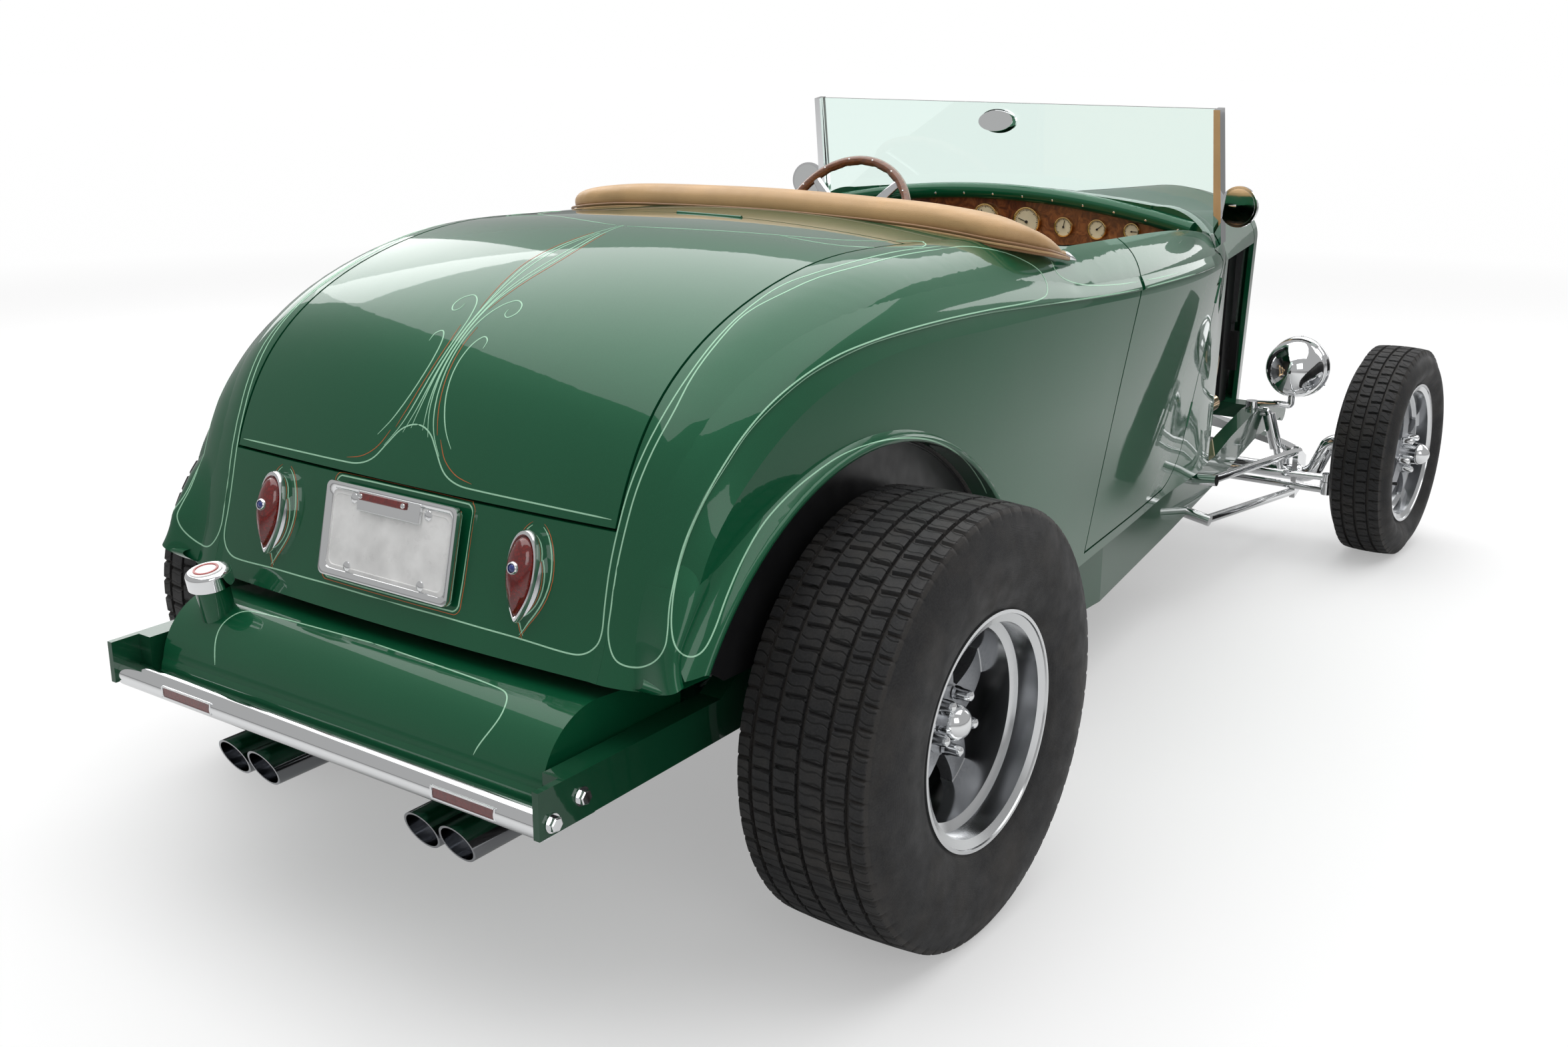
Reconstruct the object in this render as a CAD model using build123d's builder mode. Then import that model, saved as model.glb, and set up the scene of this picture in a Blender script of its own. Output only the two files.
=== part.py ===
from build123d import *
import os
from math import atan2, cos, degrees, radians, sin, sqrt

# A 1930s-style highboy street rod roadster. Millimetres, +Y forward, +X the car's right side,
# +Z up, ground at Z = 0, origin under the middle of the car.

os.makedirs("parts", exist_ok=True)

# Driving dimensions: wheels and axles
wheelbase = 2692
rear_axle_y = -1151
front_axle_y = rear_axle_y + wheelbase
rear_tyre_radius = 380
rear_tyre_width = 275
rear_tread_width = 240
rear_centre_x = 735
rear_rim_radius = 206
rear_rim_width = 248
rear_spoke_inset = 92          # the spokes sit this far inboard of the rim's edge
front_tyre_radius = 308
front_tyre_width = 175
front_tread_width = 138
front_centre_x = 722
front_rim_radius = 204
front_rim_width = 140
front_spoke_inset = 34
bead_gap = 0.3                 # tyre bead to rim
running_gap = 0.3              # shaft to bore
seat_gap = 0.3                 # a piece to what it rests on
spoke_count = 5
wheel_cap_radius = 32
spindle_radius = 16
hub_radius = 58
disc_radius = 138
disc_thickness = 20

# Driving dimensions: body
body_wall = 30                 # depth of the doors and the body's walls
panel_gap = 5                  # seam round a panel that opens
seam_gap = 0.3                 # seam between panels bolted together
arch_y = -1160                 # centre of the wheel arch
arch_z = 285
arch_radius = 547
arch_lip = 14                  # how far the arch's lip stands out
flare_width = 46               # width of the flare round the arch
body_rear_z = 540              # lower edge of the body behind the wheels
sill_z = 362                   # lower edge of the body between the wheels
door_low_z = 392               # lower edge of the doors
deck_half_width = 450
deck_front_y = -800
deck_rear_z = 765
tail_half_width = 466
door_rear_top_y = -100
door_rear_low_y = -178
door_front_top_y = 423
door_front_y = 542
cockpit_rear_y = -520
cockpit_front_y = 380
cockpit_half_width = 556
cockpit_corner = 190
cowl_front_y = 875
dash_roll_radius = 20
hinge_radius = 4
pad_height = 58
pad_depth = 104

# Driving dimensions: frame
rail_width = 44
rail_rear_x = 521              # outer face of the rails behind the doors
rail_toe_in = 0.111            # how much the rails close in for each unit of length
rail_end_y = -1862
rail_front_y = 1790
end_plate = 12
spreader_radius = 23
spreader_y = -1835
spreader_z = 384

# Driving dimensions: glass, dash and steering wheel
glass_thickness = 6
windshield_top_z = 1322
windshield_base_y = 455
windshield_base_z = 1010
windshield_rake = 9.0
post_x = 562
post_width = 16
post_depth = 30
dash_thickness = 8
wheel_centre_x = -350
wheel_centre_y = 205
wheel_centre_z = 1010
wheel_rim_radius = 185
wheel_rim_section = 12
column_angle = 30
column_radius = 19

# Driving dimensions: nose, front suspension and steering
shell_front_y = 1592
shell_rear_y = 1508
shell_top_z = 1048
shell_wall = 14
kingpin_x = 592
kingpin_radius = 11
kingpin_boss = 23
axle_radius = 24
axle_centre_z = 196
axle_end_z = front_tyre_radius
tie_rod_y = front_axle_y - 130
tie_rod_z = 190
drag_link_z = 229
rod_radius = 10
bar_radius = 12
lamp_radius = 88
lamp_x = 452
lamp_y = 1450
lamp_z = 535


def rail_x(y):
    """Outer face of the right rail at a given place along the car."""
    return rail_rear_x - rail_toe_in * max(y, 0)


def trace(*stops):
    """Closed outline: a plain stop ends a line, a pair of stops ends an arc through its first."""
    here = stops[0]
    for stop in stops[1:]:
        if isinstance(stop[0], tuple):
            ThreePointArc(here, stop[0], stop[1])
            here = stop[1]
        else:
            Line(here, stop)
            here = stop
    if here != stops[0]:
        Line(here, stops[0])


def turned(centre, *stops, mode=Mode.ADD):
    """Solid turned about the axle line through centre, from stops of (x, radius)."""
    with BuildSketch(Plane(origin=centre, x_dir=(1, 0, 0), z_dir=(0, -1, 0))) as profile:
        with BuildLine():
            trace(*stops)
        make_face()
    revolve(profile.sketch, axis=Axis(centre, (1, 0, 0)), mode=mode)


def bar(start, end, radius, mode=Mode.ADD):
    """Straight round bar between two points."""
    run = Vector(*end) - Vector(*start)
    with BuildSketch(Plane(origin=start, z_dir=run)) as profile:
        Circle(radius)
    extrude(profile.sketch, amount=run.length, mode=mode)


def tube(points, bends, radius, mode=Mode.ADD):
    """Round bar or pipe along straight runs joined by arcs."""
    with BuildLine() as path:
        FilletPolyline(*points, radius=bends)
    with BuildSketch(path.line ^ 0) as profile:
        Circle(radius)
    sweep(profile.sketch, path=path.line, mode=mode)


def side_slab(x_low, x_high, *stops, mode=Mode.ADD):
    """Slab between two X places, from a side outline of (y, z) stops."""
    with BuildSketch(Plane.YZ.offset(x_low)) as profile:
        with BuildLine():
            trace(*stops)
        make_face()
    extrude(profile.sketch, amount=x_high - x_low, mode=mode)


def block(centre, size, mode=Mode.ADD):
    """Plain box by its centre and size."""
    with Locations(centre):
        Box(*size, mode=mode)


# Body stations from the tail to the firewall: the plane's lean behind the wheel arch, its
# place, and the outline's height at the crown, then the deck seam, shoulder, belt and sill.
# Heights are measured from the arch's centre, square to the axle.
BODY_STATIONS = (
    # lean, y, crown, seam x, v, shoulder x, v, belt x, v, sill x, v
    (76, arch_y, 590, 436, 580, 532, 562, 596, 520, 606, 380),
    (60, arch_y, 590, 450, 577, 538, 565, 602, 530, 612, 400),
    (43, arch_y, 667, 450, 653, 542, 638, 603, 612, 618, 420),
    (30, arch_y, 746, 450, 728, 546, 702, 610, 640, 623, 430),
    (15, arch_y, 800, 450, 776, 549, 746, 615, 662, 627, 440),
    (0, arch_y, 840, 450, 813, 552, 780, 618, 682, 630, 400),
    (0, -850, 856, 450, 832, 556, 796, 621, 688, 626, 160),
    (0, -520, 850, 470, 822, 574, 778, 624, 682, 596, 66),
    (0, -100, 838, 500, 800, 592, 756, 622, 668, 543, 58),
    (0, 290, 834, 450, 806, 566, 756, 598, 660, 492, 58),
    (0, 540, 820, 420, 790, 526, 740, 550, 655, 462, 58),
    (0, cowl_front_y, 782, 290, 752, 392, 702, 436, 640, 424, 58),
)


def station_plane(lean, y):
    """Plane of one body station, leaning back about the wheel arch's centre."""
    return Plane(
        origin=(0, y, arch_z),
        x_dir=(1, 0, 0),
        z_dir=(0, -cos(radians(lean)), -sin(radians(lean))),
    )


def body_outline(station, inset, sink):
    """Closed outline of one body station, drawn in by inset and carried down by sink."""
    crown, seam_x, seam_v, shoulder_x, shoulder_v, belt_x, belt_v, sill_x, sill_v = station[2:]
    crown, seam_v = crown - inset, seam_v - inset
    seam_x -= 0.35 * inset
    shoulder_x, shoulder_v = shoulder_x - 0.75 * inset, shoulder_v - 0.75 * inset
    belt_x, sill_x, sill_v = belt_x - inset, sill_x - inset, sill_v - sink
    with BuildSketch(station_plane(station[0], station[1])) as outline:
        with BuildLine():
            ThreePointArc((-seam_x, seam_v), (0, crown), (seam_x, seam_v))
            ThreePointArc((seam_x, seam_v), (shoulder_x, shoulder_v), (belt_x, belt_v))
            Polyline((belt_x, belt_v), (sill_x, sill_v), (-sill_x, sill_v), (-belt_x, belt_v))
            ThreePointArc((-belt_x, belt_v), (-shoulder_x, shoulder_v), (-seam_x, seam_v))
        make_face()
    return outline.sketch


with BuildPart() as body_form:
    loft([body_outline(station, 0, 0) for station in BODY_STATIONS])

with BuildPart() as body_hollow:
    loft([body_outline(station, body_wall, 60) for station in BODY_STATIONS])

with BuildPart() as body_shell:
    add(body_form.part)
    add(body_hollow.part, mode=Mode.SUBTRACT)
    # Wheel arches, right through, and the straight lower edges
    with BuildSketch(Plane.YZ):
        with Locations((arch_y, arch_z)):
            Circle(arch_radius)
        with Locations((arch_y, body_rear_z)):
            Rectangle(800, 500, align=(Align.MAX, Align.MAX))
        with Locations((arch_y, sill_z)):
            Rectangle(2200, 300, align=(Align.MIN, Align.MAX))
    extrude(amount=700, both=True, mode=Mode.SUBTRACT)
    # Cockpit opening with round rear corners
    with BuildSketch(Plane.XY.offset(900)):
        with BuildLine():
            FilletPolyline(
                (-cockpit_half_width, cockpit_front_y),
                (-cockpit_half_width, cockpit_rear_y),
                (cockpit_half_width, cockpit_rear_y),
                (cockpit_half_width, cockpit_front_y),
                radius=cockpit_corner,
            )
            Line((cockpit_half_width, cockpit_front_y), (-cockpit_half_width, cockpit_front_y))
        make_face()
    extrude(amount=400, mode=Mode.SUBTRACT)


def door_block(grow):
    """Solid round a door on the right side, its side outline grown by the seam's width."""
    with BuildSketch(Plane.YZ.offset(cockpit_half_width - 130 - grow)) as outline:
        with BuildLine():
            trace(
                (door_front_top_y, 1200), (door_front_top_y, 992), (480, 976), (525, 955),
                (door_front_y, 922), (door_front_y - 10, 700), (door_front_y - 20, 500),
                ((door_front_y - 55, 424), (405, door_low_z)), (door_rear_low_y, door_low_z),
                (door_rear_top_y, 1040), (door_rear_top_y, 1200),
            )
        make_face()
        if grow:
            offset(amount=grow, kind=Kind.INTERSECTION)
    with BuildPart() as solid:
        extrude(outline.sketch, amount=300)
        block((cockpit_half_width - grow - 160, cockpit_front_y + grow + 100, 1100 + grow),
              (320, 200, 400), mode=Mode.SUBTRACT)
    return solid.part


door_space = door_block(panel_gap)
door_solid = door_block(0)

# The door turns about a pin that lies in its front seam, along the lean of the body's side
hinge_low = Vector(485.5, door_front_y - 17.5, 500)
hinge_high = Vector(550, door_front_y + 2.5, 950)
hinge_run = hinge_high - hinge_low

with BuildPart() as door_right:
    add(body_shell.part)
    add(door_solid, mode=Mode.INTERSECT)
    bar(hinge_low - hinge_run * 0.1, hinge_high + hinge_run * 0.1, hinge_radius + running_gap,
        mode=Mode.SUBTRACT)
door_right.part.label = "door_right"

# The deck lid turns about a pin in its front seam
deck_hinge_y = deck_front_y + panel_gap / 2
deck_hinge_z = 1138.5
deck_side = (
    (deck_front_y, 1300), (deck_front_y, 900), (-1450, deck_rear_z), (-1800, deck_rear_z),
    (-1800, 1300),
)
with BuildPart() as deck_lid:
    add(body_shell.part)
    side_slab(-deck_half_width, deck_half_width, *deck_side, mode=Mode.INTERSECT)
    bar((-90, deck_hinge_y, deck_hinge_z), (90, deck_hinge_y, deck_hinge_z),
        hinge_radius + running_gap, mode=Mode.SUBTRACT)
deck_lid.part.label = "deck_lid"

with BuildPart() as tail_panel:
    add(body_shell.part)
    side_slab(
        -tail_half_width, tail_half_width,
        (-1850, body_rear_z), (-1850, deck_rear_z - panel_gap), (-1400, deck_rear_z - panel_gap),
        (-1400, body_rear_z), mode=Mode.INTERSECT,
    )
tail_panel.part.label = "tail_panel"

with BuildPart() as cowl:
    add(body_shell.part)
    side_slab(
        -700, 700,
        (406, 0), (406, door_low_z - 2 * panel_gap), (420, 500), (380, 900),
        (cockpit_front_y - 1, 1000), (cockpit_front_y - 1, 1400), (950, 1400), (950, 0),
        mode=Mode.INTERSECT,
    )
    add(door_space, mode=Mode.SUBTRACT)
    add(mirror(door_space, about=Plane.YZ, mode=Mode.PRIVATE), mode=Mode.SUBTRACT)
    # Rolled edge over the dashboard
    with BuildLine() as roll_path:
        ThreePointArc((-528, cockpit_front_y, 1042), (0, cockpit_front_y, 1105),
                      (528, cockpit_front_y, 1042))
    with BuildSketch(roll_path.line ^ 0):
        Circle(dash_roll_radius)
    sweep()
    # Hinge pins of the doors, in the front seams
    for x_side in (-1, 1):
        for t in (0.08, 0.78):
            low, high = hinge_low + hinge_run * t, hinge_low + hinge_run * (t + 0.14)
            bar((x_side * low.X, low.Y, low.Z), (x_side * high.X, high.Y, high.Z), hinge_radius)
cowl.part.label = "cowl"

# Flares round the wheel arches: a rolled lip that sweeps back into the body's side
flare_root_x = 598
with BuildPart() as arch_flares:
    for side in (-1, 1):
        reach = body_wall + arch_lip
        turned(
            (side * flare_root_x, arch_y, arch_z),
            (0, arch_radius), (side * reach, arch_radius),
            ((side * (reach + 3), arch_radius + 6), (side * (reach - 4), arch_radius + 13)),
            ((side * 15, arch_radius + 26), (side * 6, arch_radius + flare_width)),
            (0, arch_radius + flare_width),
        )
    # It ends at the body's lower edges
    side_slab(
        -700, 700,
        (-1900, -400), (-1900, 700), (-1650, 700), (-1650, body_rear_z), (arch_y, body_rear_z),
        (arch_y, sill_z), (-400, sill_z), (-400, -400), mode=Mode.SUBTRACT,
    )

# Quarter panels, the panel behind the cockpit and the sills, in one piece
with BuildPart() as body_quarters:
    add(body_shell.part)
    side_slab(
        -700, 700,
        (-1800, 0), (406 - seam_gap, 0), (406 - seam_gap, door_low_z - 2 * panel_gap),
        (380, 480), (300, 900), (300, 1400), (-1800, 1400),
        mode=Mode.INTERSECT,
    )
    add(door_space, mode=Mode.SUBTRACT)
    add(mirror(door_space, about=Plane.YZ, mode=Mode.PRIVATE), mode=Mode.SUBTRACT)
    side_slab(
        -deck_half_width - panel_gap, deck_half_width + panel_gap,
        (deck_front_y + panel_gap, 1300), (deck_front_y + panel_gap, 880),
        (-1450, deck_rear_z - panel_gap), (-1800, deck_rear_z - panel_gap), (-1800, 1300),
        mode=Mode.SUBTRACT,
    )
    side_slab(
        -tail_half_width - seam_gap, tail_half_width + seam_gap,
        (-1850, 400), (-1850, deck_rear_z - panel_gap + seam_gap),
        (-1400, deck_rear_z - panel_gap + seam_gap), (-1400, 400), mode=Mode.SUBTRACT,
    )
    # Hinge pin of the deck lid
    bar((-80, deck_hinge_y, deck_hinge_z), (80, deck_hinge_y, deck_hinge_z), hinge_radius)
    add(arch_flares.part)
body_quarters.part.label = "body_quarters"

# Floor with its tunnel, the firewall and the seat's riser
floor_thickness = 12
floor_z = sill_z
tunnel_half = 125
tunnel_top = 500
bell_tunnel_half = 146
bell_tunnel_top = 562
tunnel_wall = 12
floor_rear_y = -640
seat_half_width = 440
seat_low = 505
column_lean = radians(column_angle)
column_dir = Vector(0, cos(column_lean), -sin(column_lean))
wheel_centre = Vector(wheel_centre_x, wheel_centre_y, wheel_centre_z)
inner_rail = rail_rear_x - rail_width
with BuildPart() as floor_pan:
    # Firewall follows the hollow of the cowl
    add(body_hollow.part)
    block((0, 853, 1012), (1200, 10, 1300), mode=Mode.INTERSECT)
    block((0, 853, sill_z / 2), (1000, 100, sill_z), mode=Mode.SUBTRACT)
    with BuildSketch(Plane.XY.offset(floor_z)):
        with BuildLine():
            trace((-inner_rail + 3, floor_rear_y), (-inner_rail + 3, -419), (-500, -416), (-500, 0),
                  (-390, 848.5), (390, 848.5), (500, 0), (500, -416), (inner_rail - 3, -419),
                  (inner_rail - 3, floor_rear_y))
        make_face()
    extrude(amount=floor_thickness)
    low = floor_z - 2
    block((0, -135, (low + tunnel_top) / 2), (2 * tunnel_half, 1010, tunnel_top - low))
    block((0, 614, (low + bell_tunnel_top) / 2),
          (2 * bell_tunnel_half, 488, bell_tunnel_top - low))
    block((0, -135, (low + tunnel_top - tunnel_wall) / 2 - 1),
          (2 * (tunnel_half - tunnel_wall), 1100, tunnel_top - tunnel_wall - low + 2),
          mode=Mode.SUBTRACT)
    block((0, 640, (low + bell_tunnel_top - tunnel_wall) / 2 - 1),
          (2 * (bell_tunnel_half - tunnel_wall), 516, bell_tunnel_top - tunnel_wall - low + 2),
          mode=Mode.SUBTRACT)
    block((0, 0, floor_z - 50), (1200, 2000, 100), mode=Mode.SUBTRACT)
    # Riser under the seat
    block((0, -190, (tunnel_top + seat_low - seat_gap) / 2),
          (2 * seat_half_width - 80, 420, seat_low - seat_gap - tunnel_top))
    for x in (-1, 1):
        block((x * (seat_half_width - 50), -190, (floor_z + seat_low - seat_gap) / 2),
              (20, 420, seat_low - seat_gap - floor_z))
    bar(wheel_centre + column_dir * 600, wheel_centre + column_dir * 900,
        column_radius + running_gap, mode=Mode.SUBTRACT)
floor_pan.part.label = "floor_pan"

# Trunk floor, the bulkhead behind the seat and the inner tubs over the rear wheels
trunk_z = 548
bulkhead_y = -650
tub_inner_x = rail_rear_x + 3
with BuildPart() as trunk_floor:
    block((0, (bulkhead_y - 1600) / 2, trunk_z), (2 * tub_inner_x, 1600 + bulkhead_y, 10))
    block((0, bulkhead_y - 5, (floor_z + 1040) / 2), (2 * (inner_rail - 3), 10, 1040 - floor_z))
    block((0, bulkhead_y, 430), (260, 60, 200), mode=Mode.SUBTRACT)
    for side in (-1, 1):
        with BuildSketch(Plane.YZ.offset(side * tub_inner_x)):
            with Locations((arch_y, arch_z)):
                Circle(arch_radius + 3)
            with Locations((arch_y, trunk_z - 5)):
                Rectangle(1300, 900, align=(Align.CENTER, Align.MAX), mode=Mode.SUBTRACT)
        extrude(amount=side * 72)
        with BuildSketch(Plane.YZ.offset(side * (tub_inner_x + 4))):
            with Locations((arch_y, arch_z)):
                Circle(arch_radius - 1)
        extrude(amount=side * 120, mode=Mode.SUBTRACT)
    add(body_hollow.part, mode=Mode.INTERSECT)
trunk_floor.part.label = "trunk_floor"

# Seat: bench cushion and back
with BuildPart() as seat_cushion:
    block((0, -190, seat_low + 55), (2 * seat_half_width, 480, 110))
    fillet(seat_cushion.edges().filter_by(Axis.Z), 60)
    fillet(seat_cushion.faces().sort_by(Axis.Z)[-1].edges(), 28)
seat_cushion.part.label = "seat_cushion"

with BuildPart() as seat_back:
    low = seat_low + 110 + seat_gap
    with BuildSketch(Plane.YZ):
        with BuildLine():
            rear = bulkhead_y + seat_gap
            trace((-442, low), (-570, low), (rear, 1010), ((rear + 38, 1040), (-566, 1010)))
        make_face()
    extrude(amount=seat_half_width, both=True)
seat_back.part.label = "seat_back"

# Padded roll along the rear of the cockpit
pad_z = 1146
with BuildPart() as cockpit_pad:
    with BuildLine() as pad_path:
        FilletPolyline(
            (-580, -300, pad_z - 62), (-578, -540, pad_z - 26), (-300, -566, pad_z),
            (300, -566, pad_z), (578, -540, pad_z - 26), (580, -300, pad_z - 62),
            radius=(150, 150, 150, 150),
        )
    with BuildSketch(pad_path.line ^ 0):
        Ellipse(pad_depth / 2, pad_height / 2)
    sweep()
    add(body_form.part.moved(Location((0, 0, seat_gap))), mode=Mode.SUBTRACT)
cockpit_pad.part.label = "cockpit_pad"

# Dashboard: burl panel and gauges
gauges = (
    # x, z, radius
    (90, 1034, 38), (-28, 1036, 38), (193, 1028, 25), (284, 1028, 25), (375, 1029, 21),
)
dash_y = 388
with BuildPart() as dash_panel:
    with BuildSketch(Plane.XZ.offset(-dash_y)):
        with BuildLine():
            trace((-492, 1031), ((0, 1085), (492, 1031)), (485, 1026), ((0, 975), (-485, 1026)))
        make_face()
    extrude(amount=-dash_thickness)
dash_panel.part.label = "dash_panel"

with BuildPart() as gauge_set:
    for x, z, r in gauges:
        with BuildSketch(Plane.XZ.offset(-dash_y + seat_gap)):
            with Locations((x, z)):
                Circle(r)
        extrude(amount=8)
        with BuildSketch(Plane.XZ.offset(-dash_y + seat_gap + 8)):
            with Locations((x, z)):
                Circle(r - 4)
        extrude(amount=-3, mode=Mode.SUBTRACT)
gauge_set.part.label = "gauges"

# Windshield
rake = radians(windshield_rake)
post_plane = Plane(
    origin=(0, windshield_base_y, windshield_base_z),
    x_dir=(1, 0, 0), z_dir=(0, -cos(rake), -sin(rake)),
)
post_height = (windshield_top_z - windshield_base_z) / cos(rake)
with BuildPart() as windshield_posts:
    for side in (-1, 1):
        with BuildSketch(post_plane):
            with BuildLine():
                trace(
                    (side * (post_x + post_width), 0), (side * (post_x + post_width / 2), post_height),
                    (side * (post_x - post_width / 2), post_height),
                    (side * (post_x - post_width / 4), 40), (side * (post_x + 4), -10),
                )
            make_face()
        extrude(amount=post_depth / 2, both=True)
    add(body_form.part, mode=Mode.SUBTRACT)
windshield_posts.part.label = "windshield_posts"

with BuildPart() as windshield_glass:
    with BuildSketch(post_plane):
        with Locations((0, post_height / 2 + 10)):
            Rectangle(2 * (post_x - post_width / 2 - seat_gap), post_height - 20)
    extrude(amount=glass_thickness / 2, both=True)
    add(body_form.part, mode=Mode.SUBTRACT)
windshield_glass.part.label = "windshield_glass"

with BuildPart() as mirror_inner:
    with BuildSketch(post_plane.offset(glass_thickness / 2 + seat_gap)):
        with Locations((-14, post_height - 44)):
            Ellipse(50, 30)
    extrude(amount=8)
mirror_inner.part.label = "inner_mirror"

with BuildPart() as mirror_right:
    bar((post_x + post_width / 2 + 5.6, 440, 1100), (612, 434, 1100), 5)
    with BuildSketch(Plane(origin=(618, 442, 1098), z_dir=(-0.12, -1, 0.05))):
        Circle(48)
    extrude(amount=12)
    fillet(mirror_right.edges().filter_by(GeomType.CIRCLE).sort_by(Axis.Y)[-1], 5)
    add(windshield_posts.part, mode=Mode.SUBTRACT)
mirror_right.part.label = "side_mirror_right"

# Steering column and wheel
wheel_plane = Plane(origin=wheel_centre, x_dir=(1, 0, 0), z_dir=column_dir * -1)
with BuildPart() as steering_wheel:
    with BuildSketch(Plane(origin=wheel_centre + wheel_plane.x_dir * wheel_rim_radius,
                           z_dir=wheel_plane.y_dir)):
        Circle(wheel_rim_section)
    revolve(axis=Axis(wheel_centre, column_dir))
    with BuildSketch(wheel_plane):
        Circle(34)
    extrude(amount=14, both=True)
    with BuildSketch(wheel_plane):
        with PolarLocations(wheel_rim_radius / 2, 4, start_angle=45):
            Rectangle(wheel_rim_radius - 8, 22)
    extrude(amount=2.5, both=True)
steering_wheel.part.label = "steering_wheel"

# Frame rails, with the step up over the rear axle and the notch for its tube
rail_top = sill_z - seat_gap
with BuildPart() as frame_rails:
    with BuildSketch(Plane.YZ):
        with BuildLine():
            trace(
                (rail_end_y, 372), (-1390, 384), (-1300, 440), (-1000, 440), (-860, 330),
                (-620, 226), (0, 218), (545, 247), (995, 279), (1400, 318), (1720, 322),
                ((1784, 322), (rail_front_y, 348)), (1500, 404), (1380, 408), (1100, 384),
                (950, rail_top), (-420, rail_top), (-700, 450), (-960, 510), (-1340, 510),
                (-1440, 452), (rail_end_y, 448),
            )
        make_face()
    extrude(amount=700)
    with BuildSketch(Plane.XY):
        with BuildLine():
            trace(
                (rail_rear_x, rail_end_y), (rail_rear_x, 0),
                (rail_x(rail_front_y), rail_front_y),
                (rail_x(rail_front_y) - rail_width, rail_front_y),
                (rail_rear_x - rail_width, 0), (rail_rear_x - rail_width, rail_end_y),
            )
        make_face()
    extrude(amount=1000, mode=Mode.INTERSECT)
    mirror(about=Plane.YZ)
    # Plates at the rear ends that carry the tube bumper
    for side in (-1, 1):
        side_slab(
            side * (rail_rear_x - end_plate if side > 0 else rail_rear_x),
            side * (rail_rear_x if side > 0 else rail_rear_x - end_plate),
            (spreader_y - 27, 372), (spreader_y + 90, 374), (spreader_y + 90, 446),
            (spreader_y - 27, 410),
        )
        block((side * (rail_rear_x - end_plate - 20), spreader_y, spreader_z),
              (40, 54, 60), mode=Mode.SUBTRACT)
        block((side * (rail_rear_x - end_plate - 20), spreader_y - 10, 420),
              (40, 76, 100), mode=Mode.SUBTRACT)
frame_rails.part.label = "frame_rails"

# Crossmembers between the rails: front, middle and the two by the rear axle
with BuildPart() as crossmembers:
    block((0, front_axle_y, 372), (2 * (rail_x(front_axle_y) - 20), 70, 44))
    block((0, 240, 262), (2 * (rail_x(240) - 20), 90, 50))
    block((0, -900, 470), (2 * (rail_rear_x - 20), 50, 50))
    block((0, -1430, 420), (2 * (rail_rear_x - 20), 50, 50))
    add(frame_rails.part, mode=Mode.SUBTRACT)
crossmembers.part.label = "crossmembers"

with BuildPart() as rear_bumper:
    half = rail_rear_x - end_plate - seat_gap
    bar((-half, spreader_y, spreader_z), (half, spreader_y, spreader_z), spreader_radius)
    for x in (-310, 360):
        block((x, spreader_y - spreader_radius, spreader_z + 2), (128, 12, 20),
              mode=Mode.SUBTRACT)
rear_bumper.part.label = "rear_bumper"

with BuildPart() as bumper_lenses:
    for x in (-310, 360):
        block((x, spreader_y - spreader_radius + 3.4, spreader_z + 2), (127, 4.4, 19))
bumper_lenses.part.label = "bumper_lenses"

# Fuel tank across the rear, with its filler
tank_half = 462
filler_top = Vector(-380, -1738, 548)
filler_dir = Vector(0, -0.18, 0.98).normalized()
with BuildPart() as fuel_tank:
    side_slab(
        -tank_half, tank_half,
        (-1470, 340), (-1470, 500), (-1660, 514), ((-1748, 488), (-1794, 410)),
        ((-1798, 372), (-1770, 340)),
    )
    bar(filler_top - filler_dir * 120, filler_top, 30)
    block((0, -1560, 440), (2 * (rail_rear_x - rail_width - seat_gap), 90, 8))
fuel_tank.part.label = "fuel_tank"

with BuildPart() as fuel_cap:
    bar(filler_top + filler_dir * seat_gap, filler_top + filler_dir * 30, 40)
    fillet(fuel_cap.edges().filter_by(GeomType.CIRCLE).sort_by(Axis.Z)[-1], 8)
fuel_cap.part.label = "fuel_cap"

# Teardrop tail lamps and the number plate on the tail panel
lamp_lean = radians(13.5)
lamp_plane = Plane(
    origin=(0, -1652, 675), x_dir=(1, 0, 0), z_dir=(0, -cos(lamp_lean), sin(lamp_lean)),
)
lamp_spread = 303
with BuildPart() as tail_lamps:
    with BuildSketch(lamp_plane) as teardrops:
        for side in (-1, 1):
            x = side * lamp_spread
            with BuildLine():
                trace((x, -72), ((x + 33, 12), (x, 70)), ((x - 33, 12), (x, -72)))
            make_face()
    extrude(amount=-60)
    add(body_form.part, mode=Mode.SUBTRACT)
tail_lamps.part.label = "tail_lamps"

plate_plane = lamp_plane.offset(8)
with BuildPart() as number_plate:
    with BuildSketch(plate_plane):
        RectangleRounded(311, 160, 10)
    extrude(amount=-6)
    with BuildSketch(plate_plane.offset(-6)):
        with Locations((-70, 60), (70, 60), (-70, -60), (70, -60)):
            Circle(8)
    extrude(amount=-60)
    add(body_form.part, mode=Mode.SUBTRACT)
number_plate.part.label = "number_plate"

# Rear tyres and wheels
bead_half = rear_rim_width / 2 - 9 - bead_gap
side_half = rear_tyre_width / 2
tread_half = rear_tread_width / 2
rear_hub = (rear_centre_x, rear_axle_y, rear_tyre_radius)
with BuildPart() as tyre_rear_right:
    r = rear_tyre_radius
    turned(
        rear_hub,
        (-bead_half, 192 + bead_gap), (bead_half, 192 + bead_gap), (bead_half, 209),
        ((side_half, 290), (tread_half + 2, r - 24)), ((tread_half - 3, r - 10), (tread_half - 14, r - 3)),
        ((0, r), (-tread_half + 14, r - 3)), ((-tread_half + 3, r - 10), (-tread_half - 2, r - 24)),
        ((-side_half, 290), (-bead_half, 209)),
    )
tyre_rear_right.part.label = "tyre_rear_right"

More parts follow.
